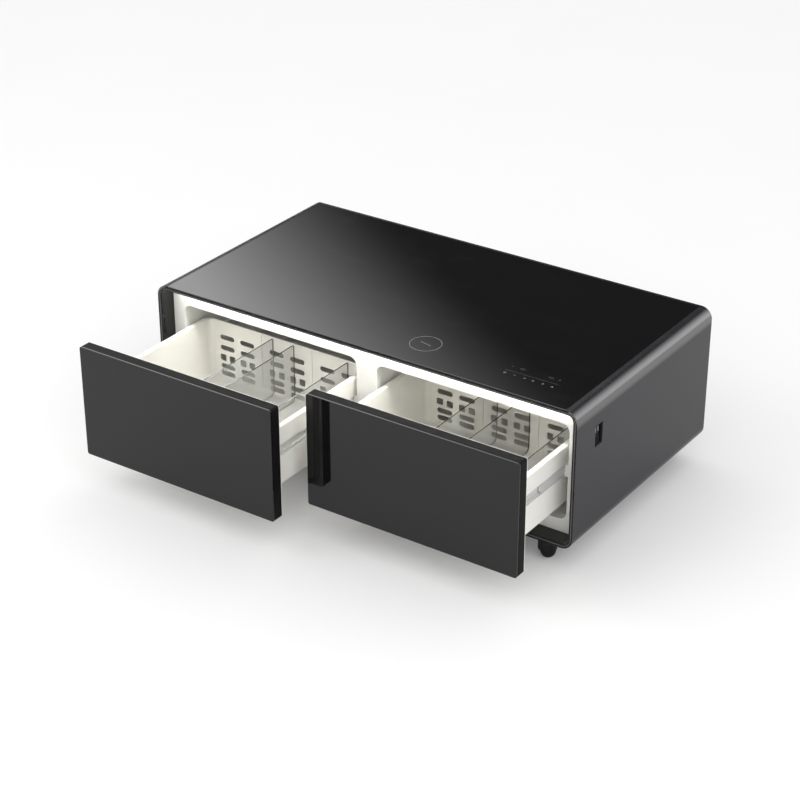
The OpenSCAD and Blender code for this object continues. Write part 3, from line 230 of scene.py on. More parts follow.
class Form:
    """Gathers point grids, and the faces between them, for one mesh."""

    def __init__(self):
        self.points, self.faces, self.paints, self.count = [], [], [], 0

    def add(self, points, faces, paint=0):
        """Adds points, and faces that count them from nought."""
        points = np.asarray(points, float).reshape(-1, 3)
        self.points.append(points)
        self.faces += [[i + self.count for i in face] for face in faces]
        self.paints += [paint] * len(faces)
        self.count += len(points)
        return self

    def rings(self, rings, closed=False, ends=(True, True), paint=0, end_paint=None):
        """Skins a row of loops: point j of ring i joins point j of ring i + 1 and point j + 1 of
        both. A closed row also joins its last ring to its first; an open one gets end faces."""
        grid = np.asarray(rings, float)
        rows, across = grid.shape[:2]
        i = np.arange(rows if closed else rows - 1)[:, None]
        j = np.arange(across)[None, :]
        following, beside = (i + 1) % rows, (j + 1) % across
        quads = np.stack([i * across + j, i * across + beside, following * across + beside,
                          following * across + j], -1).reshape(-1, 4)
        self.add(grid, quads.tolist(), paint)
        last = self.count
        for wanted, first in zip(ends, (last - rows * across, last - across)):
            if wanted and not closed:
                self.faces.append(list(range(first, first + across)))
                self.paints.append(paint if end_paint is None else end_paint)
        return self

    def turned(self, profile, base, axis="z", steps=48, paint=0):
        """Turns a profile of (radius, height) pairs about the X or Z axis through base: each
        point goes round as radius times (cos a, sin a), with its height along the axis."""
        profile = np.asarray(profile, float)
        angle = np.linspace(0, 2 * math.pi, steps, endpoint=False)
        circle = np.stack([np.cos(angle), np.sin(angle)], -1)
        flat = profile[:, 0, None, None] * circle[None]
        along = np.broadcast_to(profile[:, 1, None], (len(profile), steps))
        order = {"z": (flat[..., 0], flat[..., 1], along),
                 "x": (along, flat[..., 0], flat[..., 1])}[axis]
        return self.rings(np.stack(order, -1) + np.array(base), paint=paint)

    def bar(self, low, high, radius=0.0006, paint=0):
        """A block between two corners whose edges along Z are round, with bevelled ends."""
        low, high = np.array(low, float), np.array(high, float)
        size, middle = high - low, (low + high) / 2
        radius = min(radius, size.min() * 0.45)
        stack = [(radius, low[2]), (0.0, low[2] + radius), (0.0, high[2] - radius),
                 (radius, high[2])]
        loops = [on_xy(rounded_loop(size[0] - 2 * inset, size[1] - 2 * inset,
                                    max(radius - inset * 0.7, radius * 0.3), 3, middle[:2]), z)
                 for inset, z in stack]
        return self.rings(loops, paint=paint)

    def ribbon(self, path, width, z0, z1, closed=False, paint=0):
        """A flat line of one width along a path in X and Y: each section is the path's point
        plus and minus half the width along the path's normal, at z0 and at z1."""
        path = np.asarray(path, float)
        ahead = np.roll(path, -1, 0) - np.roll(path, 1, 0) if closed else np.gradient(path, axis=0)
        ahead /= np.linalg.norm(ahead, axis=1, keepdims=True)
        aside = np.column_stack([-ahead[:, 1], ahead[:, 0]]) * width / 2
        corners = [np.column_stack([path + sign * aside, np.full(len(path), z)])
                   for sign, z in ((-1, z0), (1, z0), (1, z1), (-1, z1))]
        return self.rings(np.stack(corners, 1), closed=closed, paint=paint)

    def balls(self, centres, radius, steps=10, paint=0):
        """Small balls: rings of radius sin b at height cos b times the radius, b over a half
        turn."""
        tilt = np.linspace(0, math.pi, steps // 2 + 1)
        profile = radius * np.column_stack([np.sin(tilt), np.cos(tilt)])
        for centre in centres:
            self.turned(profile, centre, steps=steps, paint=paint)
        return self

    def turn_about_z(self, middle, angle):
        """Turns all that has been gathered about an upright line."""
        spin = np.array([[math.cos(angle), -math.sin(angle)], [math.sin(angle), math.cos(angle)]])
        for points in self.points:
            points[:, :2] = (points[:, :2] - middle) @ spin.T + middle
        return self


def merged(mesh, flat=0.0):
    """Merges a mesh's doubles, drops what has no area and turns its faces outwards."""
    work = bmesh.new()
    work.from_mesh(mesh)
    bmesh.ops.remove_doubles(work, verts=work.verts, dist=MERGE)
    bmesh.ops.dissolve_degenerate(work, edges=work.edges, dist=MERGE)
    if flat:
        bmesh.ops.dissolve_limit(work, angle_limit=flat, verts=work.verts, edges=work.edges,
                                 delimit={"MATERIAL"})
    bmesh.ops.recalc_face_normals(work, faces=work.faces)
    if work.calc_volume(signed=True) < 0:
        bmesh.ops.reverse_faces(work, faces=work.faces)
    work.to_mesh(mesh)
    work.free()
    return mesh


def soften(mesh, angle):
    """Shades a mesh smooth, but for its edges sharper than an angle."""
    mesh.shade_smooth()
    mesh.set_sharp_from_angle(angle=math.radians(angle))


def new_object(name, mesh, looks):
    """A new object in the scene, with its materials."""
    piece = bpy.data.objects.new(name, mesh)
    bpy.context.scene.collection.objects.link(piece)
    for look in looks:
        mesh.materials.append(look)
    return piece


def finish(name, form, looks, body, stands_for=(), edge=0.0, angle=35.0):
    """Makes a gathered form a finished piece that rides on a body."""
    mesh = bpy.data.meshes.new(name)
    mesh.from_pydata(np.concatenate(form.points).tolist(), [], form.faces)
    mesh.polygons.foreach_set("material_index", np.array(form.paints, np.int32))
    merged(mesh)
    soften(mesh, angle)
    piece = new_object(name, mesh, looks)
    return settle(piece, body, stands_for, edge, angle)


def settle(piece, body, stands_for=(), edge=0.0, angle=35.0):
    """Rounds a piece's edges where asked, evens its shading, hangs it on its body and hides the CAD
    nodes it stands for.
    """
    if edge:
        bevel = piece.modifiers.new("Rounded edges", "BEVEL")
        bevel.width, bevel.segments = edge, 2
        bevel.limit_method, bevel.angle_limit = "ANGLE", math.radians(angle)
    even_shading(piece)
    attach(piece, body)
    if stands_for:
        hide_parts(*stands_for)
    return piece


def even_shading(piece):
    """Keeps wide flat faces flat: a corner's normal leans to the widest face beside it."""
    even = piece.modifiers.new("Even shading", "WEIGHTED_NORMAL")
    even.mode, even.weight, even.keep_sharp = "FACE_AREA", 60, True


def rounded_copy(node, name, looks, edge, angle=35.0):
    """A CAD node's shape as a merged mesh of its own, with its edges rounded."""
    source = frame["nodes"][node].data
    points = np.empty(len(source.vertices) * 3)
    source.vertices.foreach_get("co", points)
    corners = np.empty(len(source.loops), np.int32)
    source.loops.foreach_get("vertex_index", corners)
    mesh = bpy.data.meshes.new(name)
    mesh.from_pydata(points.reshape(-1, 3).tolist(), [], corners.reshape(-1, 3).tolist())
    merged(mesh, flat=math.radians(0.5))
    soften(mesh, angle)
    piece = new_object(name, mesh, looks)
    return settle(piece, body_of(node), (node,), edge, angle)


def body_of(node):
    """The name of the body that a CAD node rides on."""
    return frame["nodes"][node]["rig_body"]


def dress(node, look):
    """Gives a carried-over CAD node its finish."""
    mesh = frame["nodes"][node].data
    if not mesh.materials:
        mesh.materials.append(look)
    for index in range(len(mesh.materials)):
        mesh.materials[index] = look


# ---------------------------------------------------------------- materials


class Wiring:
    """Adds nodes to a tree and joins them."""

    def __init__(self, tree):
        self.tree = tree

    def feed(self, socket, value):
        """Links a socket to another one, or sets its number."""
        if isinstance(value, bpy.types.NodeSocket):
            self.tree.links.new(value, socket)
        elif value is not None:
            socket.default_value = value

    def node(self, kind, inputs=None, **settings):
        """A new node, its settings set and its inputs fed by name or number."""
        made = self.tree.nodes.new(kind)
        for key, value in settings.items():
            setattr(made, key, value)
        for key, value in (inputs or {}).items():
            self.feed(made.inputs[key], value)
        return made

    def math(self, operation, first, second=None, clamp=False):
        """The result of one sum."""
        made = self.node("ShaderNodeMath", {0: first, 1: second}, operation=operation,
                         use_clamp=clamp)
        return made.outputs[0]

    def spread(self, value, low, high, to_low=0.0, to_high=1.0, smooth=False):
        """A value brought from one range to another, and held inside it."""
        made = self.node("ShaderNodeMapRange",
                         {"Value": value, "From Min": low, "From Max": high, "To Min": to_low,
                          "To Max": to_high},
                         interpolation_type="SMOOTHSTEP" if smooth else "LINEAR")
        return made.outputs["Result"]

    def mix(self, factor, first, second, blend="MIX"):
        """Two colours mixed."""
        made = self.node("ShaderNodeMix", data_type="RGBA", blend_type=blend)
        self.feed(made.inputs["Factor"], factor)
        self.feed(made.inputs["A"], first)
        self.feed(made.inputs["B"], second)
        return made.outputs["Result"]

    def place(self, scale=(1.0, 1.0, 1.0)):
        """Object coordinates, stretched."""
        source = self.node("ShaderNodeTexCoord").outputs["Object"]
        return self.node("ShaderNodeMapping", {"Vector": source, "Scale": scale}).outputs[0]

    def noise(self, vector, scale, detail=2.0, rough=0.5):
        """A noise value."""
        made = self.node("ShaderNodeTexNoise", {"Vector": vector, "Scale": scale,
                                                "Detail": detail, "Roughness": rough})
        return made.outputs["Fac"]

    def group(self, name, **inputs):
        """One of the shared effects, with this material's own values."""
        made = self.node("ShaderNodeGroup", node_tree=bpy.data.node_groups[name])
        for key, value in inputs.items():
            self.feed(made.inputs[key.replace("_", " ")], value)
        return made.outputs


def effect(name, inputs, outputs):
    """An empty node group with named inputs and outputs, and its wiring."""
    tree = bpy.data.node_groups.new(name, "ShaderNodeTree")
    for label, default in inputs.items():
        socket = tree.interface.new_socket(label, in_out="INPUT", socket_type="NodeSocketFloat")
        socket.default_value = default
    for label in outputs:
        tree.interface.new_socket(label, in_out="OUTPUT", socket_type="NodeSocketFloat")
    wiring = Wiring(tree)
    return wiring, wiring.node("NodeGroupInput").outputs, wiring.node("NodeGroupOutput").inputs


def make_effects():
    """Builds the effects that several finishes share."""
    # Edge wear: how far the rounded normal leaves the plain one, broken up by noise
    wire, given, out = effect("Edge Wear", {"Radius": 0.001, "Breakup": 120.0}, ["Mask"])
    bevel = wire.node("ShaderNodeBevel", {"Radius": given["Radius"]}, samples=4)
    plain = wire.node("ShaderNodeNewGeometry").outputs["Normal"]
    turn = wire.node("ShaderNodeVectorMath", {0: bevel.outputs[0], 1: plain},
                     operation="DOT_PRODUCT").outputs["Value"]
    edge = wire.spread(wire.math("SUBTRACT", 1.0, turn), 0.01, 0.22)
    patches = wire.spread(wire.noise(wire.place(), given["Breakup"], 4.0, 0.6), 0.42, 0.66)
    wire.feed(out["Mask"], wire.math("MULTIPLY", edge, patches))
    # Grain: fine and broad noise about nought, and the same as a height
    wire, given, out = effect("Fine Grain", {"Scale": 800.0, "Broad": 9.0}, ["Fine", "Broad"])
    wire.feed(out["Fine"], wire.noise(wire.place(), given["Scale"], 3.0, 0.6))
    wire.feed(out["Broad"], wire.noise(wire.place(), given["Broad"], 3.0, 0.55))
    # Handling marks: wiped arcs and finger smudges, as broad noise with soft limits
    wire, given, out = effect("Handling Marks", {"Scale": 5.0, "Amount": 1.0}, ["Mask"])
    wiped = wire.noise(wire.place((1.0, 2.3, 1.6)), given["Scale"], 5.0, 0.62)
    wire.feed(out["Mask"], wire.math("MULTIPLY", wire.spread(wiped, 0.48, 0.72, smooth=True),
                                     given["Amount"]))
    # Dust: specks and a thin film on what faces up
    wire, given, out = effect("Settled Dust", {"Specks": 900.0, "Amount": 1.0}, ["Mask"])
    up = wire.node("ShaderNodeSeparateXYZ",
                   {0: wire.node("ShaderNodeNewGeometry").outputs["Normal"]}).outputs[2]
    film = wire.spread(wire.noise(wire.place(), given["Specks"], 2.0, 0.7), 0.62, 0.74)
    level = wire.math("MULTIPLY", wire.spread(up, 0.6, 0.98), given["Amount"])
    wire.feed(out["Mask"], wire.math("MULTIPLY", film, level))
    # Moulded skin: the fine stipple of a spark-eroded mould
    wire, given, out = effect("Moulded Skin", {"Scale": 1400.0}, ["Height"])
    cells = wire.node("ShaderNodeTexVoronoi", {"Vector": wire.place(), "Scale": given["Scale"]})
    waves = wire.noise(wire.place(), wire.math("MULTIPLY", given["Scale"], 0.4), 3.0, 0.6)
    wire.feed(out["Height"], wire.math("ADD", cells.outputs["Distance"], waves))
    # Edge sheen coat: where the wrap bends from the top to the sides, from the distances to both; a
    # clear coat laid there alone paints the long edges' highlight
    wire, given, out = effect("Edge Sheen Coat", {"Side": 0.65, "Top": 0.45}, ["Mask"])
    parts = wire.node("ShaderNodeSeparateXYZ", {0: wire.place()}).outputs
    aside = wire.math("SUBTRACT", given["Side"], wire.math("ABSOLUTE", parts[0]))
    below = wire.math("SUBTRACT", given["Top"], parts[2])
    wire.feed(out["Mask"], wire.math("MULTIPLY", wire.spread(aside, 0.030, 0.014),
                                     wire.spread(below, 0.046, 0.024)))
    # Drawn lines: noise stretched along Y, as rolling and drawing leave on sheet
    wire, given, out = effect("Drawn Lines", {"Scale": 900.0}, ["Lines"])
    wire.feed(out["Lines"], wire.noise(wire.place((1.0, 0.012, 1.0)), given["Scale"], 3.0, 0.6))


def look(name, base, rough, metal=0.0, **sockets):
    """A new material with its Principled shader, and the wiring to dress it."""
    made = bpy.data.materials.new(name)
    made.use_nodes = True
    wire = Wiring(made.node_tree)
    shader = made.node_tree.nodes["Principled BSDF"]
    shader.inputs["Base Color"].default_value = (*base, 1.0)
    shader.inputs["Roughness"].default_value = rough
    shader.inputs["Metallic"].default_value = metal
    for key, value in sockets.items():
        shader.inputs[key.replace("_", " ")].default_value = value
    made.diffuse_color = (*base, 1.0)
    return made, wire, shader.inputs


def tint(base, scale):
    """A colour lighter or darker by a factor, with its fourth number."""
    return tuple(min(1.0, channel * scale) for channel in base) + (1.0,)


def bump(wire, inputs, height, strength, distance):
    """Joins a height to the shader's normal."""
    made = wire.node("ShaderNodeBump", {"Height": height, "Strength": strength,
                                        "Distance": distance})
    wire.feed(inputs["Normal"], made.outputs["Normal"])


def painted(name, base, rough, wear, worn, peel=0.00002, edge_sheen_coat=False, **sockets):
    """Coated sheet: orange peel, worn edges, a little dust and rough patches. It may have a clear
    coat along the cabinet's long edges only, which paints their soft highlight."""
    made, wire, inputs = look(name, base, rough, **sockets)
    grain = wire.group("Fine Grain", Scale=420.0, Broad=6.0)
    edge = wire.group("Edge Wear", Radius=0.0009, Breakup=160.0)["Mask"]
    dust = wire.group("Settled Dust", Specks=1300.0, Amount=0.35)["Mask"]
    marks = wire.group("Handling Marks", Scale=4.0, Amount=1.0)["Mask"]
    varied = wire.mix(grain["Broad"], tint(base, 0.86), tint(base, 1.16))
    chipped = wire.mix(wire.math("MULTIPLY", edge, wear), varied, (*worn, 1.0))
    wire.feed(inputs["Base Color"], wire.mix(dust, chipped, (0.30, 0.29, 0.27, 1.0)))
    scuffed = wire.math("ADD", wire.math("MULTIPLY", marks, 0.06), rough)
    wire.feed(inputs["Roughness"], wire.math("ADD", scuffed, wire.math("MULTIPLY", dust, 0.25)))
    bump(wire, inputs, grain["Fine"], 0.25, peel)
    # Clear coat on the long edges alone: a painted highlight, not a coat the sheet has all over
    if edge_sheen_coat:
        wire.feed(inputs["Coat Weight"], wire.group("Edge Sheen Coat")["Mask"])
    return made


def polished(name, base, rough, scale=5.0, speck=1.0, **sockets):
    """Black glass or gloss plastic: nearly flat, with wiped marks and specks of dust."""
    made, wire, inputs = look(name, base, rough, **sockets)
    marks = wire.group("Handling Marks", Scale=scale, Amount=1.0)["Mask"]
    dust = wire.group("Settled Dust", Specks=1500.0, Amount=0.12 * speck)["Mask"]
    edge = wire.group("Edge Wear", Radius=0.0006, Breakup=240.0)["Mask"]
    grain = wire.group("Fine Grain", Scale=260.0, Broad=7.0)
    deep = wire.mix(grain["Broad"], tint(base, 0.85), tint(base, 1.15))
    rubbed = wire.mix(wire.math("MULTIPLY", edge, 0.25), deep, tint(base, 4.0))
    wire.feed(inputs["Base Color"], wire.mix(dust, rubbed, (0.32, 0.31, 0.29, 1.0)))
    wire.feed(inputs["Roughness"],
              wire.math("ADD", wire.math("MULTIPLY", marks, 0.035), rough, clamp=True))
    bump(wire, inputs, grain["Broad"], 0.03, 0.0004)
    return made


def moulded(name, base, rough, skin=1400.0, depth=0.00004, wear=0.4, dirt=0.06, **sockets):
    """Moulded plastic or rubber: stipple, rubbed edges, faint grime in broad patches."""
    made, wire, inputs = look(name, base, rough, **sockets)
    height = wire.group("Moulded Skin", Scale=skin)["Height"]
    grain = wire.group("Fine Grain", Scale=700.0, Broad=11.0)
    edge = wire.group("Edge Wear", Radius=0.0008, Breakup=180.0)["Mask"]
    varied = wire.mix(wire.spread(grain["Broad"], 0.35, 0.65), tint(base, 1.0 - dirt),
                      tint(base, 1.0 + dirt))
    wire.feed(inputs["Base Color"],
              wire.mix(wire.math("MULTIPLY", edge, wear), varied, tint(base, 1.5)))
    wire.feed(inputs["Roughness"],
              wire.math("ADD", wire.spread(grain["Fine"], 0.3, 0.7, -0.05, 0.05), rough))
    bump(wire, inputs, height, 0.35, depth)
    return made


def drawn_metal(name, base, rough, lines=900.0, stain=(0.30, 0.28, 0.24), metal=1.0):
    """Bare or plated metal: drawn lines, faint stains and bright rubbed edges."""
    made, wire, inputs = look(name, base, rough, metal)
    drawn = wire.group("Drawn Lines", Scale=lines)["Lines"]
    grain = wire.group("Fine Grain", Scale=500.0, Broad=24.0)
    edge = wire.group("Edge Wear", Radius=0.0006, Breakup=300.0)["Mask"]
    spots = wire.spread(grain["Broad"], 0.55, 0.78)
    toned = wire.mix(wire.math("MULTIPLY", spots, 0.35), (*base, 1.0), (*stain, 1.0))
    wire.feed(inputs["Base Color"],
              wire.mix(wire.math("MULTIPLY", edge, 0.6), toned, tint(base, 1.35)))
    wire.feed(inputs["Roughness"],
              wire.math("ADD", wire.spread(drawn, 0.3, 0.7, -0.08, 0.10), rough))
    bump(wire, inputs, drawn, 0.2, 0.00003)
    return made


def foamed(name, base):
    """Rigid foam: a skin of cells with darker pits."""
    made, wire, inputs = look(name, base, 0.85)
    cells = wire.node("ShaderNodeTexVoronoi", {"Vector": wire.place(), "Scale": 420.0})
    pits = wire.spread(cells.outputs["Distance"], 0.1, 0.6)
    grain = wire.group("Fine Grain", Scale=300.0, Broad=14.0)
    varied = wire.mix(grain["Broad"], tint(base, 0.85), tint(base, 1.1))
    wire.feed(inputs["Base Color"], wire.mix(pits, tint(base, 0.6), varied))
    bump(wire, inputs, pits, 0.6, 0.0006)
    return made


def circuit(name, base):
    """A circuit board: solder mask over fine tracks, with pads."""
    made, wire, inputs = look(name, base, 0.35)
    grid = wire.node("ShaderNodeTexBrick", {"Vector": wire.place(), "Scale": 95.0,
                                            "Mortar Size": 0.02})
    tracks = wire.math("SUBTRACT", 1.0, grid.outputs["Fac"])
    dots = wire.node("ShaderNodeTexVoronoi", {"Vector": wire.place(), "Scale": 240.0})
    pads = wire.spread(dots.outputs["Distance"], 0.14, 0.10)
    masked = wire.mix(wire.math("MULTIPLY", tracks, 0.35), (*base, 1.0), tint(base, 2.2))
    wire.feed(inputs["Base Color"], wire.mix(pads, masked, (0.62, 0.55, 0.38, 1.0)))
    wire.feed(inputs["Metallic"], pads)
    bump(wire, inputs, tracks, 0.3, 0.00005)
    return made


def acrylic(name, base, cover, rough):
    """Smoked clear plastic: a thin tint that covers more at a slant, with a fine wiped haze."""
    made, wire, inputs = look(name, base, rough, IOR=1.49, Alpha=cover)
    marks = wire.group("Handling Marks", Scale=9.0, Amount=1.0)["Mask"]
    grain = wire.group("Fine Grain", Scale=600.0, Broad=8.0)
    slant = wire.node("ShaderNodeLayerWeight", {"Blend": 0.35}).outputs["Fresnel"]
    wire.feed(inputs["Base Color"], wire.mix(grain["Broad"], tint(base, 0.94), tint(base, 1.06)))
    wire.feed(inputs["Roughness"], wire.math("ADD", wire.math("MULTIPLY", marks, 0.05), rough))
    hazed = wire.math("ADD", wire.math("MULTIPLY", marks, 0.02), cover)
    wire.feed(inputs["Alpha"],
              wire.math("ADD", wire.math("MULTIPLY", slant, 0.35), hazed, clamp=True))
    bump(wire, inputs, grain["Fine"], 0.03, 0.00003)
    return made


def glowing(name, base, level):
    """The lamp's diffuser: a milky cover whose glow swells at each lamp behind it."""
    made, wire, inputs = look(name, base, 0.45)
    waves = wire.node("ShaderNodeTexWave", {"Vector": wire.place(), "Scale": 6.2,
                                            "Distortion": 0.0}, wave_profile="SIN")
    swell = wire.spread(waves.outputs["Fac"], 0.0, 1.0, 0.82, 1.0)
    grain = wire.group("Fine Grain", Scale=900.0, Broad=12.0)
    milky = wire.mix(grain["Fine"], tint(base, 0.94), tint(base, 1.0))
    wire.feed(inputs["Base Color"], milky)
    wire.feed(inputs["Emission Color"], wire.mix(1.0, milky, swell, "MULTIPLY"))
    inputs["Emission Strength"].default_value = level
    bump(wire, inputs, grain["Fine"], 0.1, 0.00003)
    return made


def make_looks(colours, stage):
    """Builds every finish once, and returns them by name."""
    bare = (0.42, 0.42, 0.43)
    return {
        # The shell's coating takes the clear coat on its long edges alone, as a painted highlight
        "paint": painted("shell_coating", colours.paint, 0.21, 0.35, bare, edge_sheen_coat=True,
                         Specular_IOR_Level=0.34, Coat_IOR=2.0, Coat_Roughness=0.2),
        "panel": painted("panel_coating", colours.paint, 0.42, 0.3, bare, peel=0.00005),
        "plate": painted("plate_coating", colours.dark_steel, 0.38, 0.5, bare),
        "pot": painted("compressor_coating", colours.dark_steel, 0.32, 0.4, bare, peel=0.00006),
        "top_glass": polished("top_glass", colours.glass, 0.045, IOR=1.52),
        "door_glass": polished("door_glass", colours.glass, 0.035, 7.0, 0.6, IOR=1.46),
        "gloss": polished("gloss_black", colours.gloss, 0.12, 9.0, IOR=1.5,
                          Specular_IOR_Level=0.35),
        "frame": moulded("frame_black", colours.gloss, 0.42, 2000.0, 0.000006, 0.5,
                         Specular_IOR_Level=0.05),
        "highlight_bead": moulded("rim_highlight_bead", colours.highlight_bead, 0.34, 2200.0, 0.000004, 0.2),
        "hood": moulded("hood_black", colours.hood, 0.5, Specular_IOR_Level=0.22),
        "textured": moulded("textured_black", colours.textured, 0.42),
        "tub": moulded("tub_white", colours.white, 0.33, 1800.0, 0.000012, 0.15, 0.02),
        "liner": moulded("liner_white", colours.flange, 0.30, 1500.0, 0.000010, 0.12, 0.02),
        "cover": moulded("cover_white", colours.flange, 0.36, 900.0, 0.00003, 0.12, 0.03),
        "smoke": acrylic("smoked_acrylic", colours.smoke, 0.025, 0.05),
        "smoke_edge": polished("acrylic_edge", (0.045, 0.046, 0.045), 0.22, 20.0, IOR=1.49),
        "foam": foamed("rigid_foam", colours.foam),
        "zinc": drawn_metal("zinc_plate", colours.zinc, 0.36, metal=0.3),
        "balls": drawn_metal("ball_steel", (0.66, 0.66, 0.66), 0.16, 300.0),
        "fins": drawn_metal("fin_aluminium", colours.aluminium, 0.36, 1400.0),
        "copper": drawn_metal("drawn_copper", colours.copper, 0.28, 700.0,
                              (0.26, 0.11, 0.06)),
        "board": circuit("solder_mask", colours.board),
        "lamp": glowing("lamp_diffuser", colours.lamp, stage.lamp_level),
        "seal": moulded("soft_grey_seal", colours.seal, 0.62, 1100.0, 0.00002, 0.1, 0.05),
        "rubber": moulded("black_rubber", colours.rubber, 0.72, 900.0, 0.00004, 0.3, 0.1),
        "wheel": moulded("wheel_plastic", colours.wheel, 0.45, 1200.0, 0.00002, 0.5, 0.1,
                         Specular_IOR_Level=0.25),
        "ink": moulded("printed_ink", colours.ink, 0.5, 2600.0, 0.000004, 0.0, 0.05),
        "faint_ink": moulded("faint_ink", tuple(0.22 * part for part in colours.ink), 0.5,
                             2600.0, 0.000004, 0.0, 0.05),
        "tongue": moulded("port_tongue", (0.62, 0.62, 0.60), 0.4, 1500.0, 0.00001, 0.1, 0.03),
    }


LOOKS = {}


# ---------------------------------------------------------------- operators


class Step:
    """What every operator of this file shares."""

    bl_options = {"REGISTER", "UNDO"}

    def execute(self, context):
        """Runs the step, with its sizes."""
        self.make(context.scene.fridge_table_sizes)
        return {"FINISHED"}


class FRIDGETABLE_OT_finishes(bpy.types.Operator, Step):
    """Builds the shared effects and every finish"""

    bl_idname = "fridge_table.finishes"
    bl_label = "Finishes"

    def make(self, sizes):
        """Fills the table of finishes."""
        make_effects()
        scene = bpy.context.scene
        LOOKS.update(make_looks(scene.fridge_table_colours, scene.fridge_table_stage))


class FRIDGETABLE_OT_shell(bpy.types.Operator, Step):
    """Finishes the wrapped shell, the rear panel, the rails and the caster plates"""

    bl_idname = "fridge_table.shell"
    bl_label = "Shell and panels"

    def make(self, sizes):
        """The carried-over solids keep their shapes and get their coatings."""
        dress("outer_shell", LOOKS["paint"])
        dress("foam_insulation", LOOKS["foam"])
        dress("base_rails", LOOKS["fins"])
        rounded_copy("rear_panel", "rear_cover", [LOOKS["panel"]], 0.0004)
        rounded_copy("caster_plates", "caster_mounts", [LOOKS["plate"]], 0.0005)


def arc_path(centre, radius, start, stop, count=24):
    """Points of an arc in X and Y: centre plus radius times (cos a, sin a)."""
    return np.array(centre) + quarter(radius, count, start, stop)


def line_path(centre, points):
    """A straight run between two points given about a centre."""
    return np.array(centre) + np.linspace(points[0], points[1], 6)


def icon_strokes(kind, centre, size):
    """The strokes of one plain touch icon, as (path, closed) pairs about its centre."""
    half = size / 2
    if kind == "power":
        gap = math.radians(35)
        return [(arc_path(centre, half * 0.85, math.pi / 2 + gap, 2.5 * math.pi - gap), False),
                (line_path(centre, [(0, 0), (0, half)]), False)]
    if kind == "cold":
        ends = [(half * math.cos(a), half * math.sin(a)) for a in np.radians([90, 30, -30])]
        return [(line_path(centre, [(-x, -y), (x, y)]), False) for x, y in ends]
    if kind == "less":
        return [(line_path(centre, [(-half, 0), (half, 0)]), False)]
    if kind == "more":
        return [(line_path(centre, [(-half, 0), (half, 0)]), False),
                (line_path(centre, [(0, -half), (0, half)]), False)]
    if kind == "lamp":
        return [(arc_path((centre[0], centre[1] + half * 0.25), half * 0.6,
                          -math.pi / 3, 4 * math.pi / 3), False),
                (line_path(centre, [(-half * 0.35, -half * 0.6), (half * 0.35, -half * 0.6)]),
                 False),
                (line_path(centre, [(-half * 0.25, -half), (half * 0.25, -half)]), False)]
    if kind == "lock":
        return [(rounded_loop(size * 0.8, size * 0.5, size * 0.06, 2,
                              (centre[0], centre[1] - half * 0.45)), True),
                (arc_path((centre[0], centre[1] + half * 0.05), half * 0.45, 0.0, math.pi), False)]
    wide = rounded_loop(size * 1.7, size * 0.8, size * 0.2, 3, centre)
    if kind == "drawer_left":
        return [(wide, True), (line_path(centre, [(-half * 0.6, 0), (-half * 0.1, 0)]), False)]
    return [(wide, True), (line_path(centre, [(half * 0.1, 0), (half * 0.6, 0)]), False)]


class FRIDGETABLE_OT_glass_top(bpy.types.Operator, Step):
    """Builds the glass top with its polished edge, and the marks printed on it"""

    bl_idname = "fridge_table.glass_top"
    bl_label = "Glass top"

    def make(self, sizes):
        """The slab is a row of rounded outlines that draw in by the arris at its two faces."""
        low, high = span("glass_top")
        size, middle = high - low, (low + high) / 2
        r = sizes.glass_arris
        arc = quarter(r, 4)
        rows = [(r - x, low[2] + r - z) for z, x in arc[::-1]]
        rows += [(r - x, high[2] - r + z) for x, z in arc]
        slab = Form().rings([
            on_xy(rounded_loop(size[0] - 2 * inset, size[1] - 2 * inset, 0.004 - inset * 0.5, 6,
                               middle[:2]), z) for inset, z in rows])
        finish("table_glass", slab, [LOOKS["top_glass"]], "cabinet",
               ("glass_top",), angle=50)
        ring_middle = (0.145, -0.0735)
        z0, z1 = high[2] - 0.00002, high[2] + sizes.print_height
        marks = Form()
        marks.ribbon(arc_path(ring_middle, 0.0415, 0, 2 * math.pi, 97)[:-1], sizes.ring_line,
                     z0, z1, closed=True)
        marks.ribbon(line_path(ring_middle, [(-0.017, 0.0035), (0.017, -0.0035)]), 0.0012, z0, z1)
        marks.ribbon(line_path((0.464, -0.0785), [(-0.078, -0.001), (0.078, 0.001)]), 0.0006,
                     z0, z1, paint=1)
        lower = zip((0.393, 0.421, 0.450, 0.474, 0.502, 0.5285),
                    ("power", "less", "more", "cold", "lamp", "lock"))
        upper = zip((0.392, 0.422, 0.503, 0.527), ("less", "drawer_left", "drawer_right", "lamp"))
        for row_y, row, paint in ((-0.0945, lower, 0), (-0.0555, upper, 1)):
            for x, kind in row:
                for path, closed in icon_strokes(kind, (x, row_y), sizes.icon_size):
                    marks.ribbon(path, sizes.icon_line, z0, z1, closed, paint)
        finish("printed_marks", marks, [LOOKS["ink"], LOOKS["faint_ink"]], "cabinet")


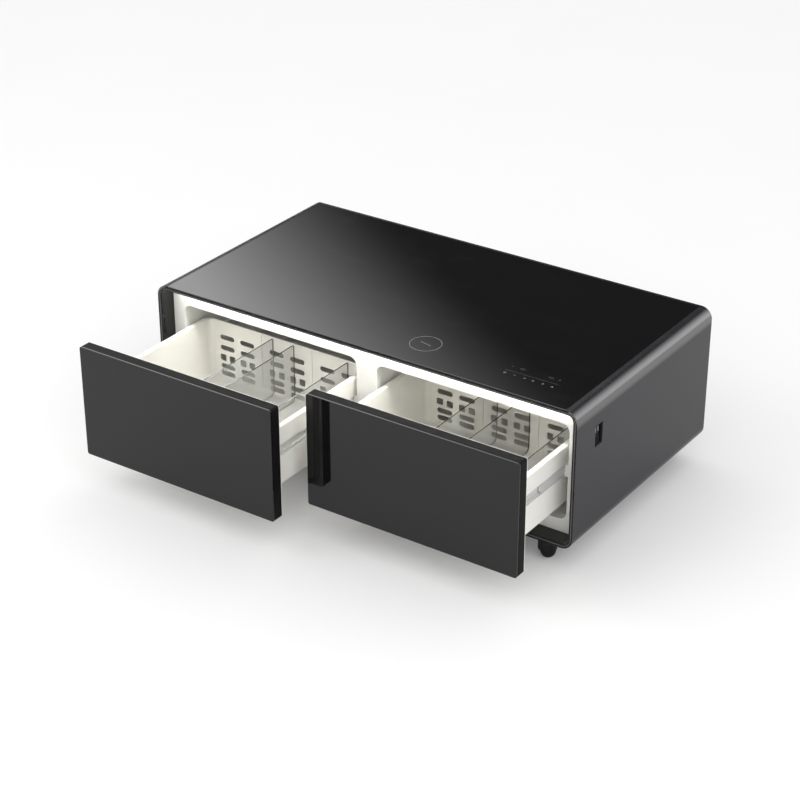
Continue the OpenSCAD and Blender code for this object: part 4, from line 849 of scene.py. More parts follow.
class FRIDGETABLE_OT_front_rim(bpy.types.Operator, Step):
    """Builds the gloss rim round the recess, grooved in front and round at its inner edge"""

    bl_idname = "fridge_table.front_rim"
    bl_label = "Front rim"

    def make(self, sizes):
        """Each ring is (1 - t) times the outer outline plus t times the inner one, at its Y."""
        low, high = span("front_rim")
        width, height = (high - low)[0], (high - low)[2]
        outer = rounded_loop(width, height, 0.0308, 10, (0.0, (low[2] + high[2]) / 2))
        inner_wide, inner_low, inner_high = 1.276, 0.077, 0.437
        inner = rounded_loop(inner_wide, inner_high - inner_low, 0.016, 10,
                             (0.0, (inner_low + inner_high) / 2))
        front, back = low[1], high[1]
        r, g = sizes.rim_round, sizes.rim_groove
        rows = [(0.0, back), (0.0, front + 0.0008), (0.03, front + 0.0002), (0.08, front),
                (0.30, front), (0.32, front + g), (0.58, front + g), (0.60, front)]
        share_r = r / 0.0112
        rows += [(1.0 - share_r + share_r * math.sin(a), front + r - r * math.cos(a))
                 for a in np.linspace(0, math.pi / 2, 6)]
        rows += [(1.0, back)]
        rim = Form().rings([on_xz((1 - t) * outer + t * inner, y) for t, y in rows], closed=True)
        finish("recess_rim", rim, [LOOKS["gloss"]], "cabinet", ("front_rim",),
               angle=40)
        # A raised bead in the groove; its light grey paints the highlight along the rim's front
        # face
        bulge = [(0.325, front + g * 1.3)]
        bulge += [(0.45 - 0.125 * math.cos(a), front + g * (1.0 - 0.9 * math.sin(a)))
                  for a in np.linspace(0, math.pi, 9)]
        bulge += [(0.575, front + g * 1.3)]
        highlight_bead = Form().rings([on_xz((1 - t) * outer + t * inner, y) for t, y in bulge],
                            closed=True)
        finish("rim_highlight_bead", highlight_bead, [LOOKS["highlight_bead"]], "cabinet", angle=60)


class FRIDGETABLE_OT_flange(bpy.types.Operator, Step):
    """Builds the white flange with its two rounded openings, and finishes the cavity liners"""

    bl_idname = "fridge_table.flange"
    bl_label = "Flange and liners"

    def make(self, sizes):
        """Each half is a row of outlines from the plate's edge to its opening; they meet at
        X = 0, where their shared wall is left out."""
        low, high = span("liner_flange")
        front, back = low[1], high[1]
        middle_z = (low[2] + high[2]) / 2
        r = sizes.flange_round
        plate = Form()
        for side in (-1, 1):
            radii = np.where(np.array([1, -1, -1, 1]) == side, 0.0305, 0.00002)
            outer = rounded_loop(high[0], high[2] - low[2], radii, 8,
                                 (side * high[0] / 2, middle_z))
            opening = [rounded_loop(OPENING_WIDE + 2 * grow, OPENING_HIGH + 2 * grow,
                                    OPENING_R + grow, 8, (side * MIDDLES[1], OPENING_Z))
                       for grow in (0.012, r, r * 0.3, 0.0)]
            rows = [on_xz(outer, back), on_xz(outer, front), on_xz(opening[0], front),
                    on_xz(opening[1], front), on_xz(opening[2], front + r * 0.3),
                    on_xz(opening[3], front + r), on_xz(opening[3], back)]
            plate.rings(rows, closed=True)
        points = np.concatenate(plate.points)
        keep = [not np.all(np.abs(points[face, 0]) < 1e-6) for face in plate.faces]
        plate.faces = [face for face, kept in zip(plate.faces, keep) if kept]
        plate.paints = [paint for paint, kept in zip(plate.paints, keep) if kept]
        finish("opening_flange", plate, [LOOKS["liner"]], "cabinet",
               ("liner_flange",), angle=50)
        for side in SIDES:
            dress(side + "_cavity_liner", LOOKS["liner"])
        rounded_copy("duct_covers", "air_duct_covers", [LOOKS["cover"]], 0.0005)


class FRIDGETABLE_OT_lamp(bpy.types.Operator, Step):
    """Builds the lamp strip's glowing diffuser"""

    bl_idname = "fridge_table.lamp"
    bl_label = "Lamp strip"

    def make(self, sizes):
        """The diffuser is a low U section carried along X."""
        dress("led_strip", LOOKS["board"])
        low, high = span("led_diffuser")
        depth, tall = high[1] - low[1], high[2] - low[2]
        wall, r = 0.0012, 0.0022
        outer = np.vstack([quarter(r, 5, -math.pi, -math.pi / 2) + (low[1] + r, low[2] + r),
                           quarter(r, 5, -math.pi / 2, 0) + (high[1] - r, low[2] + r)])
        middle = np.array([(low[1] + high[1]) / 2, high[2]])
        scale = np.array([(depth - 2 * wall) / depth, (tall - wall) / tall])
        inner = (outer - middle) * scale + middle
        loop = np.vstack([[(low[1], high[2])], outer, [(high[1], high[2])],
                          [(high[1] - wall, high[2])], inner[::-1], [(low[1] + wall, high[2])]])
        cover = Form().rings([on_yz(loop, x) for x in np.linspace(low[0], high[0], 5)])
        finish("lamp_cover", cover, [LOOKS["lamp"]], "cabinet", ("led_diffuser",),
               angle=40)


def inset_row(width, height, radius, centre, rows, steps=7):
    """Upright outlines in X and Z, each drawn in by its inset, at its Y."""
    return [on_xz(rounded_loop(width - 2 * inset, height - 2 * inset,
                               max(radius - inset, 0.0008), steps, centre), y)
            for inset, y in rows]


class FRIDGETABLE_OT_doors(bpy.types.Operator, Step):
    """Builds both doors: glass face, frame with a shadow gap, inner panel, and bellows seal"""

    bl_idname = "fridge_table.doors"
    bl_label = "Doors"

    def make(self, sizes):
        """Every part is a row of rounded outlines about the door's or the opening's middle."""
        for side, middle_x in zip(SIDES, MIDDLES):
            low, high = span(side + "_door_glass")
            size, y = high - low, low[1]
            centre = (middle_x, (low[2] + high[2]) / 2)
            r = sizes.door_arris
            arris = [(r - x, y + r - z) for x, z in quarter(r, 5)[::-1]]
            rows = arris + [(0.0, high[1] - 0.0005), (0.0006, high[1])]
            body = side + "_drawer"
            finish(side + "_door_face", Form().rings(inset_row(size[0], size[2], DOOR_CORNER,
                                                               centre, rows)),
                   [LOOKS["door_glass"]], body, (side + "_door_glass",), angle=50)
            gap = sizes.frame_gap
            rows = [(0.008, y + 0.0051), (gap, y + 0.0051), (gap, y + 0.0062),
                    (0.0003, y + 0.0064), (0.0, y + 0.0070), (0.0, y + 0.0332),
                    (0.0003, y + 0.0338), (0.0010, y + 0.0340), (0.008, y + 0.0340)]
            frame_form = Form().rings(inset_row(size[0], size[2], DOOR_CORNER, centre, rows),
                                      closed=True)
            finish(side + "_door_surround", frame_form, [LOOKS["frame"]], body,
                   (side + "_door_frame",), angle=40)
            dress(side + "_door_foam", LOOKS["foam"])
            self.inner_panel(side, body, y, size, centre)
            self.seal(side, body, y, middle_x)

    def inner_panel(self, side, body, y, size, centre):
        """The panel's rows draw in from the door's outline to the plug's, and out to its face."""
        rows = inset_row(size[0], size[2], DOOR_CORNER, centre,
                         [(0.0007, y + 0.0341), (0.0003, y + 0.0345), (0.0003, y + 0.0355),
                          (0.0010, y + 0.0360)])
        plug_wide, plug_high, plug_middle = 0.494, 0.146, (centre[0], 0.230)
        steps = [(-0.0022, 0.0360), (-0.0006, 0.0366), (0.0, 0.0382), (0.0006, 0.0425),
                 (0.0012, 0.0435), (0.0026, 0.0440)]
        dish = [(0.014, 0.0440), (0.0155, 0.0434), (0.017, 0.0430)]
        for corner, part in ((0.011, steps), (0.008, dish)):
            rows += [on_xz(rounded_loop(plug_wide - 2 * inset, plug_high - 2 * inset, corner, 7,
                                        plug_middle), y + out) for inset, out in part]
        finish(side + "_door_inner", Form().rings(rows), [LOOKS["tub"]], body,
               (side + "_door_panel",), angle=50)

    def seal(self, side, body, y, middle_x):
        """The seal's section is a base with a ribbed bellows, carried round the opening."""
        section = [(3, 36.1), (3, 38.6), (4.4, 40.6), (4.0, 43.2), (5.6, 44.8), (4.8, 46.8),
                   (6.2, 49.0), (9, 49.7), (11.8, 49.0), (13.2, 46.8), (12.4, 44.8),
                   (14.0, 43.2), (13.6, 40.6), (15, 38.6), (15, 36.1)]
        rows = [on_xz(rounded_loop(OPENING_WIDE + 2 * grow * MM, OPENING_HIGH + 2 * grow * MM,
                                   OPENING_R + grow * MM, 8, (middle_x, OPENING_Z)),
                      y + out * MM)
                for grow, out in section]
        finish(side + "_bellows_seal", Form().rings(rows, closed=True), [LOOKS["seal"]], body,
               (side + "_door_seal",), angle=60)


def tub_rows():
    """A tub's surface as rows of (half width, half depth, height, corner radius), in mm, from
    the underside's flat, up its outside with the two hung bands, over its ledge and down its
    inside to its floor. Both lower edges are arcs: 16 mm outside and 13.5 mm inside."""
    arc = np.radians(np.linspace(0, 90, 7))
    outside = [(246 + 16 * s, 197 + 16 * s, 158 - 16 * c, 4 + 16 * s)
               for s, c in zip(np.sin(arc), np.cos(arc))]
    inside = [(246 + 13.5 * s, 197 + 13.5 * s, 158 - 13.5 * c, 4 + 13.5 * s)
              for s, c in zip(np.sin(arc[::-1]), np.cos(arc[::-1]))]
    bands = [
        (262, 211.9, 158.6, 19), (262, 211.9, 229.5, 19), (262.6, 211.9, 230.9, 19),
        (264, 211.95, 231.5, 19), (268.5, 212, 231.5, 19), (269.9, 212.05, 230.9, 18),
        (270.5, 212.1, 229.5, 18), (270.5, 212.1, 156.5, 18), (271.2, 212.4, 155.5, 19),
        (272.3, 212.8, 155.5, 20), (273, 213, 156.5, 20), (273, 213, 232.2, 20),
        (272.5, 212.95, 233.5, 20), (271.2, 212.9, 234, 20), (263, 212.82, 234, 20),
        (262.2, 212.8, 234.4, 20), (262, 212.78, 235.2, 20), (262, 212.78, 267.2, 20),
        (262, 211.9, 267.8, 19), (262, 211.9, 313.5, 19), (262.6, 211.9, 314.9, 19),
        (264, 211.95, 315.5, 19), (271, 212, 315.5, 19), (272.4, 212.05, 314.9, 18),
        (273, 212.1, 313.5, 18), (273, 212.1, 269, 18), (273.7, 212.4, 268, 19),
        (274.8, 212.8, 268, 20), (275.5, 213, 269, 20), (275.5, 213, 315, 20),
        (275.1, 212.95, 316.5, 20), (274.2, 212.9, 317.6, 20), (272.8, 212.8, 318, 20),
        (262.2, 212.5, 318, 19.6), (260.8, 211.7, 317.7, 18.8), (259.9, 210.9, 317, 18),
        (259.5, 210.5, 315.8, 17.5)]
    return np.array(outside + bands + inside) * MM


class FRIDGETABLE_OT_tubs(bpy.types.Operator, Step):
    """Builds both drawer tubs with their hung bands, air slots and ribs"""

    bl_idname = "fridge_table.tubs"
    bl_label = "Tubs"

    def make(self, sizes):
        """The slots are cut from the finished skin by one exact Boolean each."""
        for side, middle_x in zip(SIDES, MIDDLES):
            low, high = span(side + "_tub")
            middle = np.array([middle_x, (low[1] + high[1]) / 2])
            skin = Form().rings([on_xy(rounded_loop(2 * w, 2 * d, r, 7, middle), z)
                                 for w, d, z, r in tub_rows()])
            tub = finish(side + "_drawer_tub", skin, [LOOKS["tub"]], side + "_drawer",
                         (side + "_tub",), angle=40)
            tub.modifiers.clear()
            self.cut_slots(tub, middle_x, high[1])
            self.add_ribs(side, middle_x, high[1])
            bevel = tub.modifiers.new("Slot edges", "BEVEL")
            bevel.width, bevel.segments = sizes.slot_edge, 2
            bevel.limit_method, bevel.angle_limit = "ANGLE", math.radians(60)
            even_shading(tub)

    def cut_slots(self, tub, middle_x, back_y):
        """Cuts six columns of slots and pairs of square holes through the back wall."""
        cutters = Form()
        base, tall = 0.142, 0.176
        for column in (-0.393, -0.26, -0.067, 0.067, 0.26, 0.393):
            x = middle_x + column * TUB_INNER
            places = [(x, base + row * tall, 0.048, 0.015, 0.00749)
                      for row in (0.727, 0.545, 0.225, 0.105)]
            places += [(x + sign * 0.0155, base + 0.373 * tall, 0.020, 0.020, 0.004)
                       for sign in (-1, 1)]
            for px, pz, wide, high, r in places:
                loop = rounded_loop(wide, high, r, 6, (px, pz))
                cutters.rings([on_xz(loop, back_y - 0.006), on_xz(loop, back_y + 0.002)])
        mesh = bpy.data.meshes.new("slot_cutters")
        mesh.from_pydata(np.concatenate(cutters.points).tolist(), [], cutters.faces)
        cutter = new_object("slot_cutters", merged(mesh), [LOOKS["tub"]])
        cut = tub.modifiers.new("Air slots", "BOOLEAN")
        cut.operation, cut.solver, cut.object = "DIFFERENCE", "EXACT", cutter
        cut.use_self = True
        depsgraph = bpy.context.evaluated_depsgraph_get()
        whole = bpy.data.meshes.new_from_object(tub.evaluated_get(depsgraph))
        tub.modifiers.remove(cut)
        tub.data = whole
        soften(whole, 40)
        bpy.data.objects.remove(cutter)

    def add_ribs(self, side, middle_x, back_y):
        """Two fine upright ribs on the inside of the back wall."""
        ribs = Form()
        for sign in (-1, 1):
            x, y = middle_x + sign * 0.0846, back_y - 0.0025
            ribs.bar((x - 0.001, y - 0.002, 0.158), (x + 0.001, y + 0.0002, 0.3155))
        finish(side + "_tub_ribs", ribs, [LOOKS["tub"]], side + "_drawer",
               angle=40)


class FRIDGETABLE_OT_dividers(bpy.types.Operator, Step):
    """Builds the smoked dividers with their rounded, darker edges"""

    bl_idname = "fridge_table.dividers"
    bl_label = "Dividers"

    def make(self, sizes):
        """A divider is its outline in Y and Z, drawn in a little at its two faces."""
        places = {"left": (-0.087, 0.048, 0.391), "right": (-0.079, 0.11, 0.437)}
        for side, middle_x in zip(SIDES, MIDDLES):
            low, high = span(side + "_dividers")
            size = high - low
            centre = ((low[1] + high[1]) / 2, (low[2] + high[2]) / 2)
            sheets = Form()
            for place in places[side]:
                x = middle_x + place * TUB_INNER
                rows = [(0.0005, -0.0015), (0.0001, -0.0013), (0.0, -0.0010), (0.0, 0.0010),
                        (0.0001, 0.0013), (0.0005, 0.0015)]
                loops = [on_yz(rounded_loop(size[1] - 2 * inset, size[2] - 2 * inset,
                                            (0.005, 0.005, 0.016, 0.016), 7, centre), x + dx)
                         for inset, dx in rows]
                sheets.rings(loops, paint=1, end_paint=0)
            finish(side + "_divider_sheets", sheets, [LOOKS["smoke"], LOOKS["smoke_edge"]],
                   side + "_drawer", (side + "_dividers",), angle=40)


def channel_loop(web, height, lip, way, sheet):
    """A C section as one loop: its middle line runs along one lip, round a bend of 1.6 mm, down
    the web, round a bend and along the other lip, and the loop is that line plus and minus half
    the sheet along its normal."""
    bend = 0.0016
    half = height / 2 - sheet / 2
    back = web - way * sheet / 2
    corner = np.linspace(0, math.pi / 2, 6)
    upper = np.column_stack([back - way * bend + way * bend * np.sin(corner),
                             half - bend + bend * np.cos(corner)])
    tip = web - way * (lip - sheet / 2)
    line = np.vstack([[(tip, half)], upper, (upper * (1, -1))[::-1], [(tip, -half)]])
    ahead = np.gradient(line, axis=0)
    ahead /= np.linalg.norm(ahead, axis=1, keepdims=True)
    aside = np.column_stack([-ahead[:, 1], ahead[:, 0]]) * sheet / 2
    return np.vstack([line + aside, (line - aside)[::-1]])


class FRIDGETABLE_OT_slides(bpy.types.Operator, Step):
    """Builds the telescopic slides: bent channels, ball cages, rivets and stops"""

    bl_idname = "fridge_table.slides"
    bl_label = "Slides"

    def make(self, sizes):
        """Each member is one bent section carried along Y."""
        sheet, z = 0.0014, SLIDE_Z
        kinds = {"outer": (0.01285, 0.033, 1), "middle": (0.01105, 0.0294, 1),
                 "inner": (0.0, 0.0258, -1)}
        loops = {kind: channel_loop(web, tall, 0.008, way, sheet)
                 for kind, (web, tall, way) in kinds.items()}
        dress("slide_brackets", LOOKS["cover"])
        outer = Form()
        low, high = span("slide_outer_members")
        for middle_x in MIDDLES:
            self.members(outer, loops["outer"], middle_x, low[1], high[1], z)
        finish("slide_tracks", outer, [LOOKS["zinc"]], "cabinet",
               ("slide_outer_members",), angle=40)
        for side, middle_x in zip(SIDES, MIDDLES):
            low, high = span(side + "_slide_middles")
            middle = Form()
            self.members(middle, loops["middle"], middle_x, low[1], high[1], z)
            self.cages(middle, middle_x, low[1] + 0.012, sizes, z)
            self.stops(middle, middle_x, low[1], z)
            finish(side + "_slide_carriers", middle,
                   [LOOKS["zinc"], LOOKS["balls"], LOOKS["cover"]],
                   side + "_slide_middle", (side + "_slide_middles",), angle=40)
            low, high = span(side + "_slide_inners")
            inner = Form()
            self.members(inner, loops["inner"], middle_x, low[1], high[1], z)
            self.rivets(inner, middle_x, low[1], high[1], z)
            finish(side + "_slide_runners", inner, [LOOKS["zinc"], LOOKS["balls"]],
                   side + "_drawer", (side + "_slide_inners",), angle=40)

    def members(self, form, loop, middle_x, y0, y1, z):
        """One section on each side of a tub."""
        for sign in (-1, 1):
            placed = np.column_stack([middle_x + sign * (TUB_HALF + loop[:, 0]), z + loop[:, 1]])
            form.rings([on_xz(placed, y) for y in (y0, y0 + 0.004, y1 - 0.004, y1)])

    def cages(self, form, middle_x, y0, sizes, z):
        """A row of balls in a thin cage, above and below, between a middle and an inner
        member."""
        step = 0.011
        ys = y0 + step * (0.5 + np.arange(sizes.balls))
        for sign in (-1, 1):
            x = middle_x + sign * (TUB_HALF + 0.0057)
            for up in (-1, 1):
                height = z + up * 0.01145
                form.bar((x - 0.0022, y0, height - 0.0002), (x + 0.0022, ys[-1] + 0.006,
                                                             height + 0.0002), 0.0001, paint=1)
            form.bar((x + sign * 0.0022 - 0.0003, y0, z - 0.0115),
                     (x + sign * 0.0022 + 0.0003, ys[-1] + 0.006, z + 0.0115), 0.0001, paint=1)
            centres = [(x, y, z + up * 0.0117) for y in ys for up in (-1, 1)]
            form.balls(centres, sizes.ball_r, 8, paint=1)

    def stops(self, form, middle_x, y0, z):
        """A plastic buffer in each middle member's front end."""
        for sign in (-1, 1):
            near = middle_x + sign * (TUB_HALF + 0.0032)
            far = middle_x + sign * (TUB_HALF + 0.0092)
            form.bar((min(near, far), y0 + 0.0004, z - 0.0102),
                     (max(near, far), y0 + 0.0080, z + 0.0102), 0.0012, paint=2)

    def rivets(self, form, middle_x, y0, y1, z):
        """Flat rivet heads that hold an inner member to its tub."""
        head = [(0.0, 0.0), (0.0036, 0.0), (0.0036, 0.0004), (0.0030, 0.0009), (0.0014, 0.0011),
                (0.0, 0.0011)]
        for sign in (-1, 1):
            profile = np.array(head) * (1, sign)
            for y in np.linspace(y0 + 0.03, y1 - 0.03, 4):
                face = middle_x + sign * (TUB_HALF + 0.0014)
                form.turned(profile, (face, y, z), "x", 20, paint=1)


class FRIDGETABLE_OT_casters(bpy.types.Operator, Step):
    """Builds the four casters: domed hoods on their pins, and twin-tread wheels"""

    bl_idname = "fridge_table.casters"
    bl_label = "Casters"

    def make(self, sizes):
        """Hoods and wheels are turned profiles; a wheel turns about its own axle."""
        turns = {"front_left": 25, "front_right": -40, "rear_left": 160, "rear_right": 115}
        shoulder = np.radians(np.linspace(0, 90, 8))
        dome = [(14.6 + 10 * math.cos(a), 46.7 + 10 * math.sin(a)) for a in shoulder]
        inner_dome = [(13.8 + 9 * math.cos(a), 44.7 + 9 * math.sin(a)) for a in shoulder[::-1]]
        hood = ([(23.2, 17.0), (23.7, 17.2), (24.1, 18.0), (24.4, 22.0), (24.6, 30.0)] + dome
                + [(7.0, 56.7), (6.2, 57.2), (6.2, 58.4), (5.0, 58.8), (5.0, 64.7), (0.0, 64.7)])
        hollow = [(0.0, 53.7)] + inner_dome + [(22.8, 30.0), (22.8, 22.0), (22.8, 17.4),
                                               (23.2, 17.0)]
        half = np.array([(0.0, 14.2), (2.2, 14.2), (2.6, 13.2), (7.4, 12.4), (8.0, 13.4),
                         (9.0, 14.4), (10.6, 14.7), (12.4, 14.2), (15.0, 12.6), (17.4, 10.0),
                         (18.9, 7.2), (19.8, 4.4), (20.0, 2.4), (19.6, 1.4)])
        groove = 19.6 - sizes.wheel_groove / MM
        wheel = np.vstack([half, [(groove, 1.0)], [(groove, -1.0)], half[::-1] * (1, -1)])
        for corner, angle in turns.items():
            low, high = span(corner + "_caster_hood")
            middle = (low[:2] + high[:2]) / 2
            cup = Form().turned(np.array(hood + hollow) * MM, (*middle, 0.0), steps=64)
            self.raise_skirt(cup.points[0], middle)
            axle = (middle[0], middle[1] + 0.002, AXLE_Z)
            cup.turned(np.array([(0, -23.2), (2.5, -23.2), (2.5, 23.2), (0, 23.2)]) * MM, axle,
                       "x", 24)
            for sign in (-1, 1):
                cap = np.array([(0, 0.3), (3.6, 0.3), (4.2, -0.4), (4.2, -1.6)]) * (1, sign)
                cup.turned(cap * MM + (0, sign * 0.0243), axle, "x", 28)
            cup.turn_about_z(middle, math.radians(angle))
            finish(corner + "_hood", cup, [LOOKS["hood"]], corner + "_caster",
                   (corner + "_caster_hood",), angle=35)
            tread = Form().turned(wheel * MM, axle, "x", 64)
            tread.turn_about_z(middle, math.radians(angle))
            finish(corner + "_twin_wheel", tread, [LOOKS["wheel"]], corner + "_wheel",
                   (corner + "_wheel",), angle=35)

    def raise_skirt(self, points, middle):
        """Below 30 mm a point's height is drawn up towards 30 mm, by a share that goes smoothly
        from nought at the axle's ends to 0.7 over the treads."""
        away = points[:, :2] - middle
        along = np.abs(away[:, 0]) / np.maximum(np.linalg.norm(away, axis=1), MERGE)
        t = np.clip((0.92 - along) / 0.30, 0.0, 1.0)
        lift = 0.7 * t * t * (3 - 2 * t)
        top = 0.030
        low = points[:, 2] < top
        points[low, 2] += (lift * (top - points[:, 2]))[low]


class FRIDGETABLE_OT_socket(bpy.types.Operator, Step):
    """Builds the side socket panel: rounded bezel, charging ports and outlet"""

    bl_idname = "fridge_table.socket"
    bl_label = "Side sockets"

    def make(self, sizes):
        """The bezel is a closed row of upright outlines in Y and Z."""
        low, high = span("socket_bezel")
        centre = ((low[1] + high[1]) / 2, (low[2] + high[2]) / 2)
        x = high[0]
        rows = [(3, -3), (3, -0.5), (2.7, 0.1), (2.0, 0.35), (-1.6, 0.1), (-2.6, -0.5),
                (-3, -1.2), (-3, -3)]
        loops = [on_yz(rounded_loop(0.040 + 2 * grow * MM, 0.063 + 2 * grow * MM,
                                    (3.4 + grow * 0.6) * MM, 6, centre), x + out * MM)
                 for grow, out in rows]
        finish("socket_frame", Form().rings(loops, closed=True), [LOOKS["paint"]], "cabinet",
               ("socket_bezel",), angle=40)
        dress("socket_module", LOOKS["hood"])
        ports = Form()
        face = x - 0.007
        for sign in (-1, 1):
            y, z = centre[0] + sign * 0.006, centre[1] + 0.0115
            shell = [(0.0, 0.0005), (0.0, 0.0), (-0.0005, -0.0002), (-0.0008, 0.0)]
            loops = [on_yz(rounded_loop(0.005 + 2 * grow, 0.013 + 2 * grow, 0.0006, 3, (y, z)),
                           face + out - 0.0002) for grow, out in shell]
            inner = [on_yz(rounded_loop(0.0034, 0.0114, 0.0004, 3, (y, z)), face - back)
                     for back in (0.0002, 0.009)]
            ports.rings(loops + inner, ends=(False, True), paint=0)
            ports.bar((face - 0.009, y - 0.0016, z - 0.005), (face - 0.0012, y - 0.0001,
                                                              z + 0.005), 0.0002, paint=1)
        finish("charging_ports", ports, [LOOKS["balls"], LOOKS["tongue"]], "cabinet",
               angle=40)
        outlet = Form()
        profile = np.array([(11.6, 0.0), (11.9, 0.6), (12.4, 0.9), (13.0, 0.6), (13.2, 0.0)]) * MM
        middle = (face, centre[0], centre[1] - 0.0126)
        outlet.turned(profile, middle, "x", 48)
        finish("outlet_ring", outlet, [LOOKS["gloss"]], "cabinet", angle=40)


class FRIDGETABLE_OT_rear(bpy.types.Operator, Step):
    """Builds the cross-headed screws, and finishes the power inlet"""

    bl_idname = "fridge_table.rear"
    bl_label = "Screws and inlet"

    def make(self, sizes):
        """A head is a low dome, 1 - (r / R)^2, less a cross-shaped recess near its middle."""
        rounded_copy("power_inlet", "mains_inlet", [LOOKS["textured"]], 0.0003)
        dress("cabinet_screws", LOOKS["zinc"])
        heads = Form()
        radius, dome, deep, arm, reach = 0.004, 0.0009, 0.0011, 0.0006, 0.0021
        share_r = np.linspace(0, 1, 9)[:, None]
        angle = np.linspace(0, 2 * math.pi, 32, endpoint=False)[None, :]
        a, b = share_r * radius * np.cos(angle), share_r * radius * np.sin(angle)
        across = np.minimum(np.abs(a), np.abs(b))
        along = np.maximum(np.abs(a), np.abs(b))
        rise = dome * (1 - share_r ** 2) - deep * ((across < arm) & (along < reach))
        a, b = np.vstack([a, a[-1:]]), np.vstack([b, b[-1:]])
        rise = np.vstack([rise, np.full_like(rise[-1:], -0.0006)])
        low, high = span("rear_panel")
        rear_y, reach_x = high[1] + 0.0019, 0.608
        for place in (-1, -0.4, 0.4, 1):
            for up in (low[2] + 0.014, high[2] - 0.014):
                x = place * reach_x
                heads.rings(np.stack([x + a, rear_y + rise, up + b], -1), ends=(False, True))
        finish("panel_screw_heads", heads, [LOOKS["balls"]], "cabinet", angle=40)


class FRIDGETABLE_OT_cooling(bpy.types.Operator, Step):
    """Finishes the cooling unit, the fans and the electronics inside the cabinet"""

    bl_idname = "fridge_table.cooling"
    bl_label = "Cooling unit and electronics"

    def make(self, sizes):
        """These solids keep their shapes; each gets its own finish."""
        finishes = {
            "evaporators": "fins", "condenser": "fins", "fan_motors": "textured",
            "left_fan_rotor": "textured", "right_fan_rotor": "textured", "compressor": "pot",
            "compressor_bushes": "rubber", "condenser_fan_frame": "textured",
            "condenser_fan_rotor": "textured", "refrigerant_pipes": "copper",
            "drip_tray": "textured", "control_board": "board", "power_supply": "fins",
            "touch_board": "board", "wireless_charger": "copper"}
        for node, finish_name in finishes.items():
            dress(node, LOOKS[finish_name])


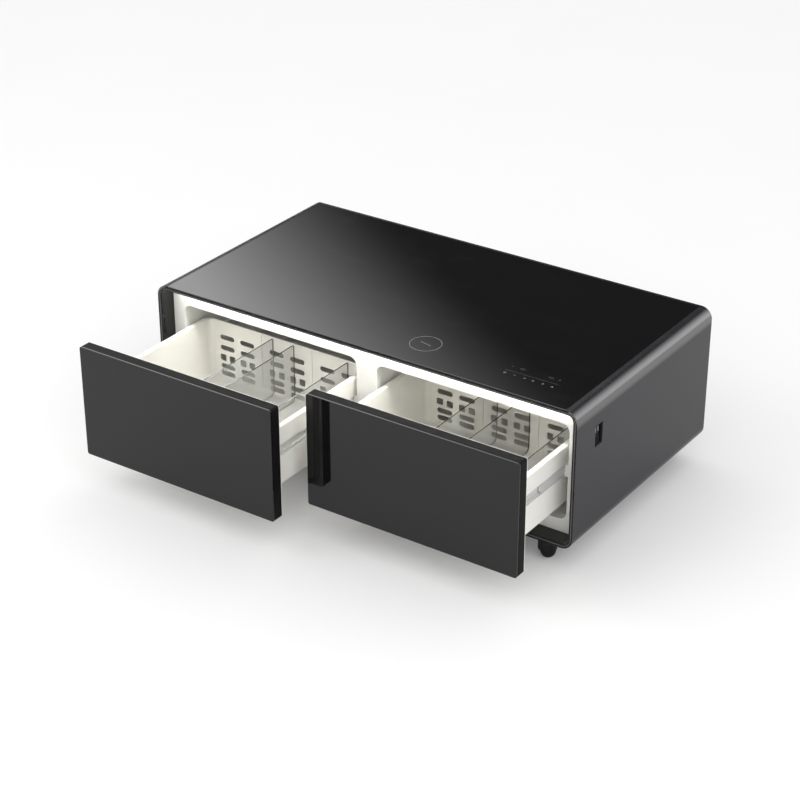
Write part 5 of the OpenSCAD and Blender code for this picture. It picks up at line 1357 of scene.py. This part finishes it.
class FRIDGETABLE_OT_stage(bpy.types.Operator):
    """Sets the camera, the pale floor and the soft studio light"""

    bl_idname = "fridge_table.stage"
    bl_label = "Camera, floor and light"
    bl_options = {"REGISTER", "UNDO"}

    def execute(self, context):
        """Makes each in turn."""
        stage = context.scene.fridge_table_stage
        self.camera(context.scene, stage)
        self.floor(stage)
        self.world(context.scene, stage)
        self.lamps(context.scene, stage)
        context.scene.view_settings.view_transform = "Standard"
        return {"FINISHED"}

    def camera(self, scene, stage):
        """The camera stands where the photograph was taken from."""
        data = bpy.data.cameras.new("camera")
        data.lens, data.sensor_width, data.clip_end = stage.lens, 36.0, 200.0
        eye = bpy.data.objects.new("camera", data)
        scene.collection.objects.link(eye)
        eye.location = stage.camera_place
        eye.rotation_euler = Euler(stage.camera_turn)
        scene.camera = eye

    def floor(self, stage):
        """A wide pale sheet under the casters, that keeps the object's shadow."""
        ring = rounded_loop(60.0, 60.0, 12.0, 12)
        mesh = bpy.data.meshes.new("floor")
        mesh.from_pydata(on_xy(ring, 0.0).tolist(), [], [list(range(len(ring)))])
        made, wire, inputs = look("floor_paper", stage.floor_colour, 0.9)
        inputs["Specular IOR Level"].default_value = 0.0
        base = tuple(stage.floor_colour)
        grain = wire.noise(wire.place(), 3.0, 2.0, 0.5)
        wire.feed(inputs["Base Color"], wire.mix(grain, tint(base, 0.99), tint(base, 1.01)))
        path = wire.node("ShaderNodeLightPath").outputs
        seen = wire.math("MAXIMUM", path["Is Camera Ray"], path["Is Transmission Ray"])
        lift = wire.math("MULTIPLY", seen, stage.floor_lift)
        glow = wire.node("ShaderNodeEmission", {"Strength": lift})
        shader = made.node_tree.nodes["Principled BSDF"].outputs[0]
        whole = wire.node("ShaderNodeAddShader", {0: shader, 1: glow.outputs[0]})
        output = made.node_tree.nodes["Material Output"]
        wire.feed(output.inputs["Surface"], whole.outputs[0])
        new_object("floor", mesh, [made])

    def world(self, scene, stage):
        """Gloss sees a dark room with two soft panels: one fills the front left, as the dot
        product of the direction with its middle, and one stands at the back right."""
        world = bpy.data.worlds.new("studio")
        world.use_nodes = True
        wire = Wiring(world.node_tree)
        toward = wire.node("ShaderNodeTexCoord").outputs["Generated"]

        def facing(x, y, z):
            return wire.node("ShaderNodeVectorMath", {0: toward, 1: (x, y, z)},
                             operation="DOT_PRODUCT").outputs["Value"]

        front = wire.math("POWER", wire.spread(facing(-0.449, -0.635, 0.698), 0.03, 0.122), 1.6)
        back = wire.math("POWER", wire.spread(facing(0.643, 0.763, 0.060), 0.67, 0.97), 1.6)
        shine = wire.math("ADD", wire.math("MULTIPLY", front, stage.front_panel),
                          wire.math("MULTIPLY", back, stage.back_panel))
        gloss = wire.math("ADD", shine, stage.dark_sky)
        path = wire.node("ShaderNodeLightPath").outputs
        seen = wire.math("MAXIMUM", path["Is Camera Ray"], path["Is Transmission Ray"])
        level = wire.math("MULTIPLY", path["Is Glossy Ray"], gloss)
        soft = wire.math("MULTIPLY", wire.math("SUBTRACT", 1.0, path["Is Glossy Ray"]),
                         stage.sky)
        lit = wire.math("ADD", level, soft)
        rest = wire.math("MULTIPLY", lit, wire.math("SUBTRACT", 1.0, seen))
        background = world.node_tree.nodes["Background"]
        background.inputs["Color"].default_value = (1.0, 1.0, 1.0, 1.0)
        wire.feed(background.inputs["Strength"], wire.math("ADD", rest, seen))
        scene.world = world

    def lamps(self, scene, stage):
        """Two wide soft panels high up, at the front left and at the front right."""
        keys = (("left_key", (-2.0, -2.7, 3.0), stage.left_power),
                ("right_key", (3.2, -1.6, 2.8), stage.right_power))
        for name, place, power in keys:
            data = bpy.data.lights.new(name, "AREA")
            data.shape, data.size, data.size_y = "RECTANGLE", 3.0, 2.2
            data.energy = power
            lamp = bpy.data.objects.new(name, data)
            scene.collection.objects.link(lamp)
            lamp.location = place
            aim = -lamp.location.normalized()
            lamp.rotation_euler = aim.to_track_quat("-Z", "Y").to_euler()
            lamp.visible_glossy = False


STEPS = (FRIDGETABLE_OT_finishes, FRIDGETABLE_OT_shell, FRIDGETABLE_OT_glass_top,
         FRIDGETABLE_OT_front_rim, FRIDGETABLE_OT_flange, FRIDGETABLE_OT_lamp,
         FRIDGETABLE_OT_doors, FRIDGETABLE_OT_tubs, FRIDGETABLE_OT_dividers,
         FRIDGETABLE_OT_slides, FRIDGETABLE_OT_casters, FRIDGETABLE_OT_socket,
         FRIDGETABLE_OT_rear, FRIDGETABLE_OT_cooling, FRIDGETABLE_OT_stage)


class FRIDGETABLE_PT_panel(bpy.types.Panel):
    """Lists the steps, the sizes and the colours"""

    bl_idname = "FRIDGETABLE_PT_panel"
    bl_label = "Fridge Table"
    bl_space_type = "VIEW_3D"
    bl_region_type = "UI"
    bl_category = "Fridge Table"

    def draw(self, context):
        """Draws one button for each step, and the properties below them."""
        for step in STEPS:
            self.layout.operator(step.bl_idname)
        for group in (context.scene.fridge_table_sizes, context.scene.fridge_table_colours,
                      context.scene.fridge_table_stage):
            box = self.layout.box()
            for key in group.__annotations__:
                box.prop(group, key)


GROUPS = (("fridge_table_sizes", FridgeTableSizes), ("fridge_table_colours", FridgeTableColours),
          ("fridge_table_stage", FridgeTableStage))


def register():
    """Registers the property groups, the steps and the panel."""
    for name, group in GROUPS:
        bpy.utils.register_class(group)
        setattr(bpy.types.Scene, name, PointerProperty(type=group))
    for step in STEPS + (FRIDGETABLE_PT_panel,):
        bpy.utils.register_class(step)


def unregister():
    """Takes all of them away again."""
    for step in (FRIDGETABLE_PT_panel,) + STEPS[::-1]:
        bpy.utils.unregister_class(step)
    for name, group in GROUPS:
        delattr(bpy.types.Scene, name)
        bpy.utils.unregister_class(group)


def main():
    """Runs every step in order."""
    register()
    for step in STEPS:
        family, name = step.bl_idname.split(".")
        getattr(getattr(bpy.ops, family), name)()


if __name__ == "__main__":
    main()
